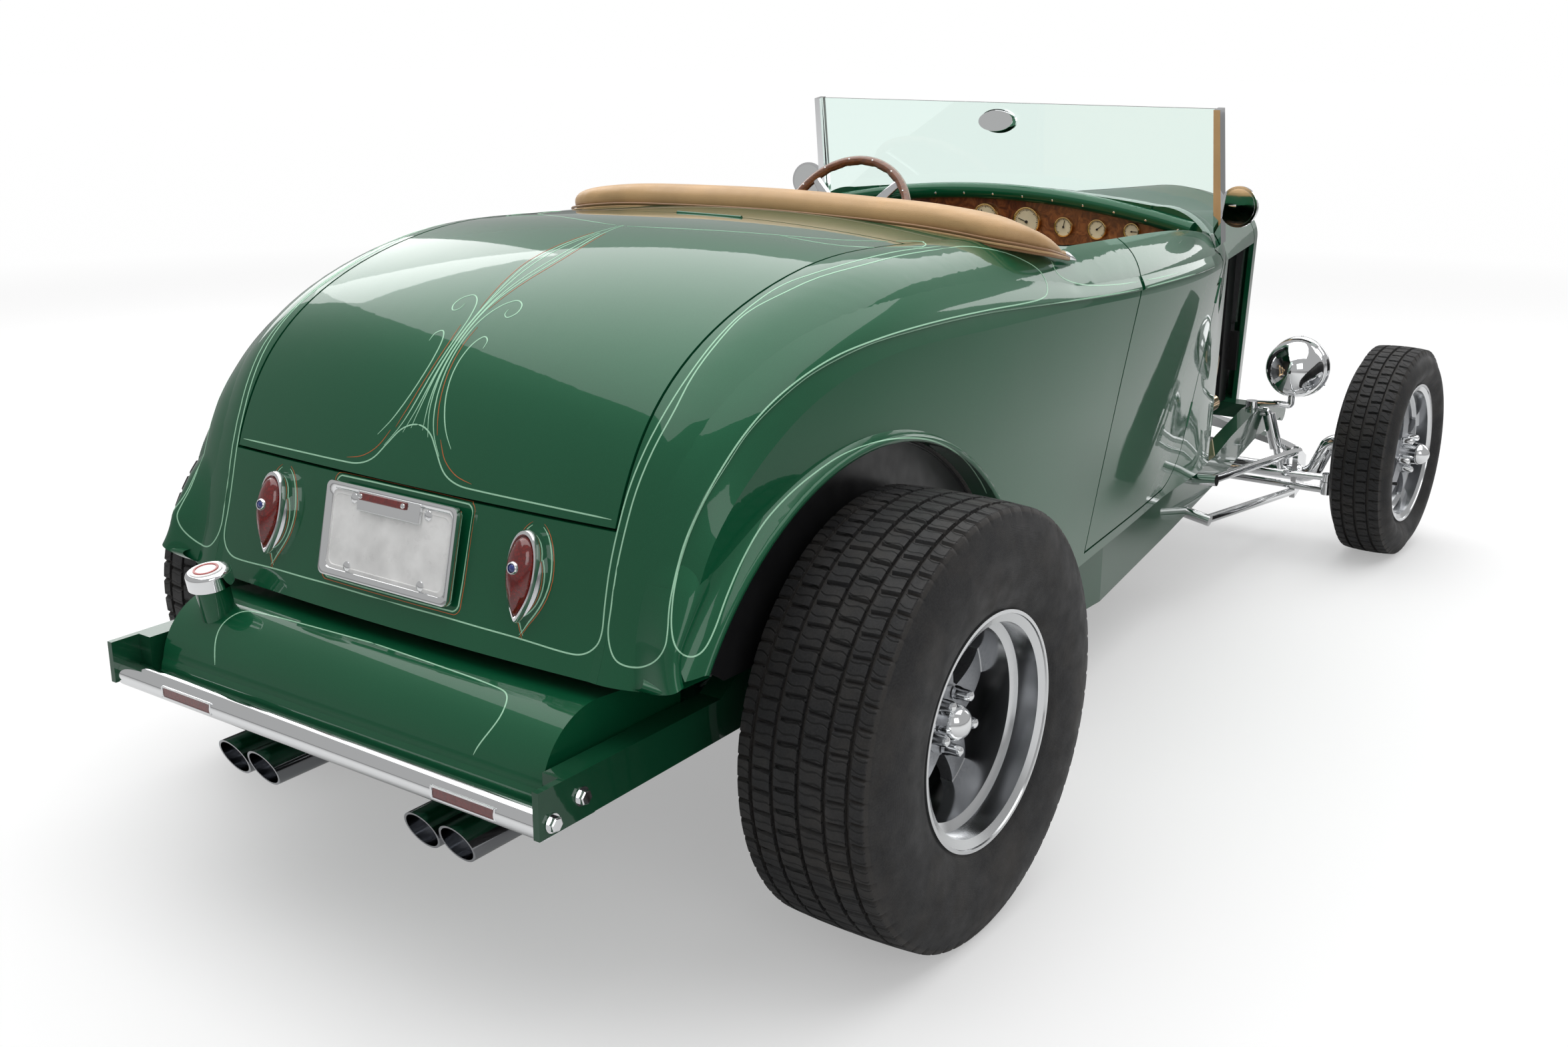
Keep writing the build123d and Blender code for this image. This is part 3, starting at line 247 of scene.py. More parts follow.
@dataclass(frozen=True)
class Chrome(Finish):
    """Bright plated metal with faint wipe marks."""

    name: str = "chrome_plate"
    colour: Colour = (0.86, 0.87, 0.88)
    rough: float = 0.035

    def graph(self) -> Graph:
        """Mirror metal whose roughness wanders a little."""
        g = Graph(self.name).set(metallic=1.0, base_color=self.colour)
        g.drive("Roughness", g.span(g.noise(30, 4), 0.3, 0.75, self.rough, self.rough + 0.05))
        g.bump(g.noise(160, 2), 0.00003, 0.25)
        return g


@dataclass(frozen=True)
class WheelMetal(Finish):
    """Cast wheel: grey satin spokes, turned bright rim, plated cap, by distance from the axle."""

    name: str
    axle_y: float
    axle_z: float
    cap: float = 0.034
    spokes: float = 0.166

    def graph(self) -> Graph:
        """Masks by radius between cap, spokes and rim, with lathe lines on the rim."""
        g = Graph(self.name).set(metallic=1.0)
        _across, dy, dz = g.offsets(self.axle_y, self.axle_z)
        r = g.length(dy, dz)
        on_rim = g.span(r, self.spokes - 0.001, self.spokes + 0.001)
        on_cap = g.span(r, self.cap + 0.001, self.cap - 0.001)
        lathe = g.noise(1, 3, at=g.node("CombineXYZ", x=g.math("MULTIPLY", r, 2600.0)).outputs[0])
        rim = g.ramp(lathe, (0.3, (0.62, 0.63, 0.64)), (0.7, (0.80, 0.81, 0.82)))
        cast = g.ramp(g.noise(240, 4), (0.3, (0.30, 0.31, 0.33)), (0.7, (0.40, 0.41, 0.43)))
        g.drive("Base Color", g.mix(on_cap, g.mix(on_rim, cast, rim), (0.86, 0.87, 0.88)))
        g.drive("Roughness", g.math("SUBTRACT", g.span(on_rim, 0, 1, 0.42, 0.17),
                                    g.math("MULTIPLY", on_cap, 0.36)))
        g.bump(g.math("ADD", g.math("MULTIPLY", g.noise(700, 2), g.span(on_rim, 0, 1, 1, 0)),
                      g.math("MULTIPLY", lathe, g.span(on_rim, 0, 1, 0, 0.4))), 0.0001, 0.5)
        return g


@dataclass(frozen=True)
class Metal(Finish):
    """Plain worked metal: brushed, cast or bare."""

    name: str
    colour: Colour
    rough: float = 0.3
    grain: Point = (400, 20, 400)

    def graph(self) -> Graph:
        """Metal with a directional grain in colour, roughness and relief."""
        g = Graph(self.name).set(metallic=1.0)
        grain = g.noise(1, 4, at=g.place(self.grain))
        g.drive("Base Color", g.tones(grain, self.colour, 0.86, 1.1))
        g.drive("Roughness", g.span(grain, 0.2, 0.8, self.rough * 0.8, self.rough * 1.25))
        g.bump(grain, 0.00008, 0.4)
        return g


@dataclass(frozen=True)
class Rubber(Finish):
    """Tyre rubber: wavy slits in the tread's ribs, dusty grooves, scuffs and side rings."""

    name: str
    axle_y: float
    axle_z: float
    radius: float
    half_tread: float
    pitches: int
    centre_x: float
    dust: float = 0.55

    def graph(self) -> Graph:
        """Dark rubber whose slits follow the angle round the axle; the slits are painted darker as
        painted shade.
        """
        g = Graph(self.name).set(specular_ior_level=0.35)
        across, dy, dz = g.offsets(self.axle_y, self.axle_z)
        r = g.length(dy, dz)
        x = g.math("SUBTRACT", g.math("ABSOLUTE", across), self.centre_x)
        turn = g.math("MULTIPLY", g.math("ARCTAN2", dy, dz), self.pitches / math.tau * 2)
        wave = g.math("SINE", g.math("MULTIPLY", x, 5.2 * math.pi / self.half_tread))
        bend = g.math("MULTIPLY", wave, 0.17)
        slant = g.math("MULTIPLY", x, 1.3 / self.half_tread)
        saw = g.math("FRACT", g.math("ADD", turn, g.math("ADD", bend, slant)))
        slit = g.span(g.math("ABSOLUTE", g.math("SUBTRACT", saw, 0.5)), 0.05, 0.10, 1, 0)
        tread = g.span(r, self.radius - 0.0068, self.radius - 0.0052)
        slit = g.math("MULTIPLY", slit, tread)
        rings = g.math("SINE", g.math("MULTIPLY", r, 2600.0))
        below_tread = g.span(r, self.radius - 0.030, self.radius - 0.034)
        wall = g.math("MULTIPLY", g.span(rings, 0.2, 1.0), below_tread)
        low = g.span(r, self.radius - 0.0045, self.radius - 0.0070)
        low = g.math("MULTIPLY", low, g.span(r, self.radius - 0.0140, self.radius - 0.0120))
        base = g.ramp(g.noise(300, 3), (0.3, (0.012, 0.012, 0.013)), (0.7, (0.023, 0.023, 0.024)))
        dust = g.math("MAXIMUM", g.span(g.noise(11, 6, 0.65), 0.45, 0.80, 0, self.dust),
                      g.math("MULTIPLY", low, 0.35))
        base = g.mix(dust, base, (0.058, 0.051, 0.044))
        # Slits painted near black: painted shade inside the cuts.
        g.drive("Base Color", g.mix(g.math("MULTIPLY", slit, 0.85), base, (0.004, 0.004, 0.004)))
        g.drive("Roughness", g.span(g.noise(26, 4), 0.3, 0.7, 0.48, 0.68))
        relief = g.math("SUBTRACT", g.math("ADD", g.math("MULTIPLY", g.noise(900, 3), 0.10),
                                           g.math("MULTIPLY", wall, 0.10)), slit)
        g.bump(relief, 0.0016, 0.8)
        return g


@dataclass(frozen=True)
class Leather(Finish):
    """Tanned hide with a pebbled grain and soft creases."""

    name: str = "tan_leather"
    colour: Colour = (0.60, 0.37, 0.17)

    def graph(self) -> Graph:
        """Cell grain, creases and a gentle change of tone."""
        g = Graph(self.name).set(sheen_weight=0.12, coat_weight=0.12, coat_roughness=0.35)
        dark = shade(self.colour, 0.80)
        pebble = g.cells(620)
        crease = g.noise(60, 5, 0.6, warp=0.6)
        skin = g.tones(g.noise(7, 3), self.colour, 0.80, 1.12)
        g.drive("Base Color", g.mix(g.span(pebble, 0.35, 0.75, 0, 0.25), skin, dark))
        g.drive("Roughness", g.span(crease, 0.3, 0.7, 0.42, 0.58))
        relief = g.math("ADD", g.math("MULTIPLY", pebble, 0.7), g.math("MULTIPLY", crease, 0.6))
        g.bump(relief, 0.0005, 0.55)
        return g


@dataclass(frozen=True)
class Burl(Finish):
    """Lacquered burl veneer: swirling figure with dark eyes."""

    name: str = "burl_veneer"
    light: Colour = (0.33, 0.105, 0.030)
    dark: Colour = (0.060, 0.014, 0.006)

    def graph(self) -> Graph:
        """Warped rings and knots under lacquer."""
        g = Graph(self.name).set(roughness=0.35, coat_weight=1.0, coat_roughness=0.04)
        swirl = g.noise(26, 6, 0.62, warp=2.6)
        eyes = g.cells(55, at=g.node("Mapping", vector=g.node(
            "TexNoise", scale=14, detail=2, vector=g.place()).outputs["Color"],
            scale=(0.5, 0.5, 0.5)).outputs[0])
        figure = g.ramp(swirl, (0.28, self.dark), (0.46, (0.17, 0.045, 0.014)), (0.62, self.light),
                        (0.78, (0.48, 0.19, 0.06)))
        g.drive("Base Color", g.mix(g.span(eyes, 0.16, 0.05, 0, 0.8), figure, self.dark))
        return g


@dataclass(frozen=True)
class Timber(Finish):
    """Lacquered wheel-rim wood with a fine straight grain."""

    name: str = "rim_timber"
    light: Colour = (0.26, 0.085, 0.025)

    def graph(self) -> Graph:
        """Fine streaks under lacquer."""
        g = Graph(self.name).set(roughness=0.3, coat_weight=1.0, coat_roughness=0.05)
        grain = g.noise(1, 5, 0.6, at=g.place((60, 200, 200)), warp=1.2)
        dark = shade(self.light, 0.35)
        g.drive("Base Color", g.ramp(grain, (0.32, dark), (0.68, self.light)))
        return g


@dataclass(frozen=True)
class ClearGlass(Finish):
    """Window glass with a faint green body."""

    name: str = "screen_glass"
    tint: Colour = (0.80, 0.93, 0.88)

    def graph(self) -> Graph:
        """Clear glass with a faint film of dust."""
        g = Graph(self.name).set(base_color=self.tint, transmission_weight=1.0, ior=1.45)
        g.drive("Roughness", g.span(g.noise(5, 4), 0.4, 0.9, 0.0, 0.03))
        return g


@dataclass(frozen=True)
class LensGlass(Finish):
    """Moulded coloured lamp lens with rows of small prisms."""

    name: str
    colour: Colour
    pitch: float = 190.0

    def graph(self) -> Graph:
        """Coloured, half clear plastic with a prism relief."""
        g = Graph(self.name).set(roughness=0.12, transmission_weight=0.35, coat_weight=1.0,
                                 coat_roughness=0.02, ior=1.5)
        prisms = g.cells(self.pitch, at=g.place((1, 1, 1), (0.4, 0.2, 0.1)))
        deep = shade(self.colour, 0.6)
        g.drive("Base Color", g.ramp(prisms, (0.1, self.colour), (0.7, deep)))
        g.bump(prisms, 0.0004, 0.35)
        return g


@dataclass(frozen=True)
class Plastic(Finish):
    """Moulded plastic, enamel or satin paint with a fine texture."""

    name: str
    colour: Colour
    rough: float = 0.4
    grain: float = 500.0
    depth: float = 0.00012

    def graph(self) -> Graph:
        """Slightly varied colour with a fine relief."""
        g = Graph(self.name)
        g.drive("Base Color", g.tones(g.noise(18, 4), self.colour, 0.85, 1.1))
        g.drive("Roughness", g.span(g.noise(40, 3), 0.3, 0.7, self.rough * 0.85, self.rough * 1.15))
        g.bump(g.noise(self.grain, 2), self.depth, 0.4)
        return g


@dataclass(frozen=True)
class Carpet(Finish):
    """Short looped carpet and felt."""

    name: str = "loop_carpet"
    colour: Colour = (0.055, 0.048, 0.040)

    def graph(self) -> Graph:
        """Loops from small cells, with sheen."""
        g = Graph(self.name).set(roughness=0.95, sheen_weight=0.4)
        loops = g.cells(420)
        g.drive("Base Color", g.ramp(loops, (0.1, shade(self.colour, 1.5)), (0.7, self.colour)))
        g.bump(loops, 0.002, 0.8)
        return g


BODY_GREEN = Paint("body_green", (0.004, 0.105, 0.042), flake=0.55)
FRAME_GREEN = Paint("frame_green", (0.005, 0.070, 0.030), flake=0.3)
MINT = Paint("stripe_mint", (0.42, 0.74, 0.52), coat=0.5)
AMBER = Paint("stripe_amber", (0.62, 0.16, 0.05), coat=0.5)
CHROME = Chrome()
DARK_CHROME = Chrome("smoked_chrome", (0.42, 0.43, 0.45), 0.08)
GOLD_TINT = Chrome("heat_tinted_pipe", (0.80, 0.58, 0.36), 0.10)
CAST = Metal("cast_metal", (0.30, 0.31, 0.32), 0.5, (300, 300, 300))
STEEL = Metal("ground_steel", (0.42, 0.42, 0.43), 0.25, (60, 60, 900))
BRASS = Metal("bezel_brass", (0.78, 0.52, 0.20), 0.16, (200, 200, 200))
TAN = Leather()
PIPING = Leather("piping_leather", (0.30, 0.15, 0.06))
BURL = Burl()
RIM_WOOD = Timber()
SCREEN = ClearGlass()
SILVER = Chrome("silvered_glass", (0.93, 0.95, 0.95), 0.01)
RED_PAINT = Paint("red_enamel", (0.45, 0.025, 0.02))
LAMP_GLASS = ClearGlass("lamp_glass", (0.97, 0.98, 1.0))
RED_LENS = LensGlass("red_lens", (0.30, 0.012, 0.008))
BLUE_LENS = LensGlass("blue_lens", (0.02, 0.06, 0.42), 900.0)
BLACK = Plastic("satin_black", (0.012, 0.012, 0.013), 0.35)
CREAM = Plastic("dial_cream", (0.78, 0.70, 0.50), 0.45)
WHITE = Plastic("plate_white", (0.90, 0.90, 0.89), 0.3)
INK = Plastic("dial_ink", (0.02, 0.018, 0.015), 0.5)
CARPET = Carpet()


# ---- Shapes


def unit(direction: Point | Vector) -> Vector:
    """That direction at length 1."""
    return Vector(direction).normalized()


def facing(direction: Point | Vector, hint: Point = (0, 0, 1)) -> Matrix:
    """Turn whose Z axis points along a direction and whose Y axis leans to the hint."""
    z = unit(direction)
    x = Vector(hint).cross(z)
    x = x.normalized() if x.length > 1e-6 else Vector((1, 0, 0))
    return Matrix((x, z.cross(x), z)).transposed()


def flow(points: list[Point], steps: int = 8, loop: bool = False) -> list[Vector]:
    """Smooth line through points.

    Args:
        points: the places it passes.
        steps: samples from one place to the next.
        loop: whether it closes on itself.
    Returns:
        the samples, in order.
    """
    at = [Vector(p) for p in points]
    count = len(at)
    line: list[Vector] = []
    for i in range(count if loop else count - 1):
        if loop:
            a, b, c, d = at[i - 1], at[i], at[(i + 1) % count], at[(i + 2) % count]
        else:
            a, b, c, d = at[max(i - 1, 0)], at[i], at[i + 1], at[min(i + 2, count - 1)]
        part = interpolate_bezier(b, b + (c - a) / 6, c - (d - b) / 6, c, steps + 1)
        line.extend(part[:-1])
    return line if loop else line + [at[-1]]


def angles(count: int) -> list[float]:
    """Angles evenly spaced round a circle."""
    return [math.tau * k / count for k in range(count)]


def heading(line: list[Vector], i: int) -> Vector:
    """Direction of a line at one of its points."""
    return (line[min(i + 1, len(line) - 1)] - line[max(i - 1, 0)]).normalized()


def boxy(value: float, power: float) -> float:
    """A sine or cosine drawn towards the corners of a box."""
    return math.copysign(abs(value) ** power, value)


def linked(name: str, bm: bmesh.types.BMesh) -> bpy.types.Object:
    """An object in the scene that is made of those faces, which are then freed."""
    mesh = bpy.data.meshes.new(name)
    bm.to_mesh(mesh)
    bm.free()
    made = bpy.data.objects.new(name, mesh)
    bpy.context.scene.collection.objects.link(made)
    return made


def round_edges(thing: bpy.types.Object, width: float, angle: float) -> None:
    """Rounds an object's edges that are sharper than an angle in degrees."""
    rounding = thing.modifiers.new("rounding", "BEVEL")
    rounding.width, rounding.segments, rounding.limit_method = width, 2, "ANGLE"
    rounding.angle_limit = math.radians(angle)
    rounding.harden_normals = True


SLOTS = {
    BODY_GREEN: "body_paint", FRAME_GREEN: "frame_paint", MINT: "body_paint", AMBER: "body_paint",
    CHROME: "bright", DARK_CHROME: "bright", GOLD_TINT: "bright", CAST: "alloy",
    STEEL: "bright", BRASS: "dials", TAN: "seat_leather", PIPING: "seat_leather",
    BURL: "burl", RIM_WOOD: "burl", SCREEN: "screen", LAMP_GLASS: "screen", RED_LENS: "lens",
    BLUE_LENS: "lens", BLACK: "black_paint", CREAM: "dials", WHITE: "plate", INK: "dials",
    CARPET: "liner", SILVER: "looking_glass", RED_PAINT: "lens",
}


class Shape:
    """Gathers the faces of one piece before it is handed over."""

    def __init__(self, bm: bmesh.types.BMesh | None = None) -> None:
        """Starts with no faces, or with those given."""
        self.bm = bmesh.new() if bm is None else bm

    def grid(self, rows: list[list[Vector]], around: bool = False, along: bool = False,
             ends: bool = False) -> "Shape":
        """Skins rows of points with quads.

        Args:
            rows: rows of equal length.
            around: whether each row closes on itself.
            along: whether the last row meets the first.
            ends: whether the first and last rows are capped.
        Returns:
            the shape, for more calls.
        """
        made = [[self.bm.verts.new(p) for p in row] for row in rows]
        width = len(made[0])
        for i in range(len(made) if along else len(made) - 1):
            a, b = made[i], made[(i + 1) % len(made)]
            for j in range(width if around else width - 1):
                k = (j + 1) % width
                self.bm.faces.new((a[j], a[k], b[k], b[j]))
        if ends:
            self.bm.faces.new(list(reversed(made[0])))
            self.bm.faces.new(made[-1])
        return self

    def lathe(self, profile: list[tuple[float, float]], at: Point, axis: Point | Vector,
              sides: int = 40) -> "Shape":
        """Turns a profile of (along, radius) about an axis through a point."""
        turn = facing(axis, (0.3, 0.2, 1) if abs(unit(axis).z) < 0.9 else (1, 0, 0))
        centre = Vector(at)
        rows = [[centre + turn @ Vector((r * math.cos(a), r * math.sin(a), along))
                 for a in angles(sides)] for along, r in profile]
        return self.grid(rows, around=True, ends=True)

    def tube(self, line: list[Vector], radius: float, sides: int = 8) -> "Shape":
        """Round bar along a line."""
        rows = []
        up = Vector((0.1, 0.2, 1))
        for i, p in enumerate(line):
            run = heading(line, i)
            side = run.cross(up).normalized()
            up = side.cross(run).normalized()
            rows.append([p + side * radius * math.cos(a) + up * radius * math.sin(a)
                         for a in angles(sides)])
        return self.grid(rows, around=True, ends=True)

    def block(self, centre: Point | Vector, size: Point, turn: Matrix | None = None) -> "Shape":
        """Box by its centre, size and turn."""
        spin = turn or Matrix.Identity(3)
        a, b, c = (side / 2 for side in size)
        corner = [[Vector(centre) + spin @ Vector((x * a, y * b, z * c))
                   for x, y in ((-1, -1), (1, -1), (1, 1), (-1, 1))] for z in (-1, 1)]
        return self.grid(corner, around=True, ends=True)

    def hexagon(self, at: Point | Vector, axis: Point | Vector, across: float,
                height: float) -> "Shape":
        """Bolt head or nut with a domed top, on a washer."""
        r, foot, shoulder = across / math.sqrt(3), 0.0015, height * 0.85
        self.lathe([(0, r * 1.25), (foot, r * 1.25)], at, axis, 20)
        self.lathe([(foot, r), (shoulder, r)], at, axis, 6)
        return self.lathe([(shoulder, r * 0.97), (height, r * 0.82)], at, axis, 6)

    def plate(self, outline: list[tuple[float, float]], at: Point, turn: Matrix,
              thick: float) -> "Shape":
        """Flat plate from a closed outline, its thickness along the turn's Z."""
        rows = [[Vector(at) + turn @ Vector((x, y, z)) for x, y in outline] for z in (0, thick)]
        return self.grid(rows, around=True, ends=True)

    def piece(self, name: str, finish: Finish, body: str = "chassis", bevel: float = 0.0,
              crease: float = 40) -> bpy.types.Object:
        """Hands over the piece.

        Args:
            name: the piece's name.
            finish: what it is made of.
            body: the body that it rides on.
            bevel: width of the rounding on sharp edges, in metres.
            crease: angle in degrees beyond which an edge stays sharp.
        Returns:
            the object.
        """
        bmesh.ops.recalc_face_normals(self.bm, faces=self.bm.faces)
        made = linked(name, self.bm)
        mesh = made.data
        mesh.shade_smooth()
        mesh.set_sharp_from_angle(angle=math.radians(crease))
        mesh.materials.append(finish.material)
        if bevel:
            round_edges(made, bevel, 35)
        made["on_body"] = body
        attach(made, body)
        "tread" if isinstance(finish, Rubber) else SLOTS[finish]
        log.info("%s: %d faces, %s, on %s", name, len(mesh.polygons), finish.material.name, body)
        return made


@dataclass
class Contact:
    """Where a ray met a surface: the place, the outward normal and the body that owns it."""

    place: Vector
    normal: Vector
    body: str
    along: float = 0.0

    def mirrored(self) -> "Contact":
        """The same spot on the other side of the car."""
        flip = Vector((-1, 1, 1))
        body = self.body.replace("right", "LEFT").replace("left", "right").replace("LEFT", "left")
        return Contact(self.place * flip, self.normal * flip, body, self.along)


def spread(at: tuple[float, ...], values: list[float], where: float) -> float:
    """The smooth curve through some values, read at one place (Lagrange)."""
    total = 0.0
    for i, value in enumerate(values):
        share = value
        for k, other in enumerate(at):
            if k != i:
                share *= (where - other) / (at[i] - other)
        total += share
    return total


class Skin:
    """The outer surface of some CAD nodes and pieces, for what lies on it."""

    bodies = {"door_left": "door_left", "door_right": "door_right", "deck_lid": "deck"}
    furthest_settle = 0.012
    longest_step = 0.035

    def __init__(self, *parts: "str | bpy.types.Object") -> None:
        """Gathers the faces of nodes, given by name, and of pieces."""
        points: list[Vector] = []
        faces: list[list[int]] = []
        self.owner: list[str] = []
        for part in parts:
            mesh = NODES[part].data if isinstance(part, str) else part.data
            body = self.bodies.get(part, "chassis") if isinstance(part, str) else part["on_body"]
            base = len(points)
            points.extend(v.co.copy() for v in mesh.vertices)
            faces.extend([base + i for i in p.vertices] for p in mesh.polygons)
            self.owner.extend([body] * len(mesh.polygons))
        self.tree = BVHTree.FromPolygons(points, faces)

    def hit(self, start: Point | Vector, direction: Point | Vector) -> Contact | None:
        """Where a ray first meets the surface, with the normal that faces the ray."""
        place, normal, face, _far = self.tree.ray_cast(Vector(start), unit(direction))
        if place is None:
            return None
        outward = normal if normal.dot(Vector(direction)) < 0 else -normal
        return Contact(place, outward, self.owner[face])

    def settle(self, spot: Contact, above: float = 0.02) -> Contact:
        """The spot moved along its normal on to the surface, where that is near."""
        found = self.hit(spot.place + spot.normal * above, -spot.normal)
        if found is None or found.body != spot.body:
            return spot
        if (found.place - spot.place).length > self.furthest_settle:
            return spot
        return Contact(found.place, spot.normal, spot.body, spot.along)

    def trace(self, camera: "PhotoCamera", pixels: Pixels, steps: int = 8, loop: bool = False,
              side: float = 1.0) -> list[list[Contact]]:
        """Lays a path of photograph pixels on the surface.

        Args:
            camera: the camera of the photograph.
            pixels: the path, in pixels of the whole photograph.
            steps: samples from one pixel to the next.
            loop: whether the path closes.
            side: which half of the car keeps its samples, 1 right or -1 left.
        Returns:
            smooth runs, each on one body and without a jump.
        """
        line = flow([(x, y, 0) for x, y in pixels], steps, loop)
        runs: list[list[Contact]] = [[]]
        for index, sample in enumerate(line + line[:1] if loop else line):
            found = self.hit(camera.place, camera.ray(sample.x, sample.y))
            last = runs[-1][-1] if runs[-1] else None
            if found is None or found.place.x * side < 0:
                runs.append([])
                continue
            if last and (found.body != last.body
                         or (found.place - last.place).length > self.longest_step):
                runs.append([])
            found.along = index / len(line)
            runs[-1].append(found)
        return [self.even(run) for run in runs if len(run) > 4]

    def even(self, run: list[Contact], passes: int = 3) -> list[Contact]:
        """Evens out a run's places and normals and settles it again."""
        for _ in range(passes):
            inner = []
            for a, b, c in zip(run, run[1:], run[2:]):
                place = (a.place + b.place * 2 + c.place) / 4
                normal = (a.normal + b.normal * 2 + c.normal).normalized()
                inner.append(Contact(place, normal, b.body, b.along))
            run = [run[0], *inner, run[-1]]
        return [self.settle(spot) for spot in run]


def dress(finish: Finish, *names: str) -> None:
    """Gives carried-over CAD nodes a finish."""
    for name in names:
        node = NODES[name]
        node.data.materials.clear()
        node.data.materials.append(finish.material)
        log.info("%s: CAD node, %s", name, finish.material.name)


# ---- Camera and studio


@dataclass
class PhotoCamera:
    """The camera of the photograph, matched to the car's measured points."""

    place: Point = (2.0417, -3.393, 1.473)
    azimuth: float = -0.6209
    elevation: float = -0.2854
    roll: float = 0.0046
    focal_px: float = 2473.06
    width_px: int = 2349
    height_px: int = 1568

    def axes(self) -> tuple[Vector, Vector, Vector]:
        """The camera's right, up and forward directions."""
        level = math.cos(self.elevation)
        ahead = Vector((math.sin(self.azimuth) * level, math.cos(self.azimuth) * level,
                        math.sin(self.elevation)))
        right = ahead.cross(Vector((0, 0, 1))).normalized()
        up = right.cross(ahead)
        c, s = math.cos(self.roll), math.sin(self.roll)
        return right * c + up * s, up * c - right * s, ahead

    def ray(self, x: float, y: float) -> Vector:
        """Direction through a pixel of the whole photograph."""
        right, up, ahead = self.axes()
        dx, dy = x - self.width_px / 2, self.height_px / 2 - y
        return (ahead * self.focal_px + right * dx + up * dy).normalized()

    def build(self) -> None:
        """Creates the scene's camera."""
        right, up, ahead = self.axes()
        data = bpy.data.cameras.new("photo_camera")
        data.sensor_width = 36.0
        data.lens = 36.0 * self.focal_px / self.width_px
        data.clip_end = 200
        camera = bpy.data.objects.new("photo_camera", data)
        turn = Matrix((right, up, -ahead)).transposed()
        camera.matrix_world = Matrix.Translation(self.place) @ turn.to_4x4()
        bpy.context.scene.collection.objects.link(camera)
        bpy.context.scene.camera = camera
        log.info("camera: %.1f mm lens", data.lens)


@dataclass
class Studio:
    """Plain pale floor, white surroundings and soft lamps."""

    floor_half: float = 60.0
    floor_tone: Colour = (0.62, 0.62, 0.62)
    floor_glow: float = 0.36
    far_glow: float = 0.985
    fade_from_to: tuple[float, float] = (2.6, 9.0)
    glossy_share: float = 0.22
    sky_fill: float = 0.42
    lamps: tuple[tuple[str, Point, Point, float, float], ...] = (
        # name, place, aim, size, watts
        ("overhead", (-0.6, 0.6, 5.2), (0, -0.1, 0.4), 9.0, 420.0),
        ("camera_side", (5.4, -4.6, 3.6), (0, -0.4, 0.6), 3.2, 60.0),
        ("far_side", (-6.0, 1.5, 3.4), (0, 0, 0.7), 3.0, 60.0),
        ("nose", (2.5, 7.0, 3.0), (0, 0.8, 0.5), 2.6, 60.0),
    )

    def floor(self) -> None:
        """Pale floor that shows white to the camera and in reflections, and keeps the shadow."""
        half = self.floor_half
        rows = [[Vector((x, y, 0)) for x in (-half, half)] for y in (-half, half)]
        ground = linked("studio_floor", Shape().grid(rows).bm)
        g = Graph("floor_pale").set(roughness=0.9, base_color=self.floor_tone,
                                    specular_ior_level=0.1)
        path = g.node("LightPath").outputs
        seen = g.math("MAXIMUM", g.math("MULTIPLY", path["Is Glossy Ray"], self.glossy_share),
                      g.math("MAXIMUM", path["Is Camera Ray"], path["Is Transmission Ray"]))
        split = g.node("SeparateXYZ", vector=g.place()).outputs
        far = g.span(g.length(split[0], split[1]), *self.fade_from_to)
        g.drive("Base Color", g.mix(far, self.floor_tone, (0.0, 0.0, 0.0)))
        level = g.span(far, 0, 1, self.floor_glow, self.far_glow)
        glow = g.node("Emission", color=(1, 1, 1, 1), strength=g.math("MULTIPLY", seen, level))
        both = g.node("AddShader")
        out = g.tree.nodes["Material Output"]
        g.tree.links.new(g.shader.outputs[0], both.inputs[0])
        g.tree.links.new(glow.outputs[0], both.inputs[1])
        g.tree.links.new(both.outputs[0], out.inputs[0])
        ground.data.materials.append(g.material)

    def sky(self) -> None:
        """White surroundings to the camera and in reflections, a softer fill elsewhere."""
        world = bpy.data.worlds.new("studio_sky")
        bpy.context.scene.world = world
        world.use_nodes = True
        tree = world.node_tree
        back = tree.nodes["Background"]
        path = tree.nodes.new("ShaderNodeLightPath")
        most = tree.nodes.new("ShaderNodeMath")
        most.operation = "MAXIMUM"
        tree.links.new(path.outputs["Is Camera Ray"], most.inputs[0])
        tree.links.new(path.outputs["Is Transmission Ray"], most.inputs[1])
        span = tree.nodes.new("ShaderNodeMapRange")
        span.inputs[3].default_value = self.sky_fill
        tree.links.new(most.outputs[0], span.inputs[0])
        tree.links.new(span.outputs[0], back.inputs["Strength"])
        back.inputs["Color"].default_value = (1, 1, 1, 1)

    def light(self) -> None:
        """Large soft lamps round the car."""
        for name, place, aim, size, watts in self.lamps:
            data = bpy.data.lights.new(name, "AREA")
            data.energy, data.size = watts, size
            lamp = bpy.data.objects.new(name, data)
            lamp.location = place
            lamp.rotation_euler = (Vector(aim) - Vector(place)).to_track_quat("-Z", "Y").to_euler()
            bpy.context.scene.collection.objects.link(lamp)

    def build(self) -> None:
        """Sets up floor, surroundings, lamps and colour."""
        self.floor()
        self.sky()
        self.light()
        bpy.context.scene.view_settings.view_transform = "Standard"
        log.info("studio: %d lamps", len(self.lamps))


# ---- Bodywork and stripes


PAINTED = ("body_quarters", "cowl", "door_left", "door_right", "deck_lid", "tail_panel", "hood_top",
           "radiator_shell", "fuel_tank")


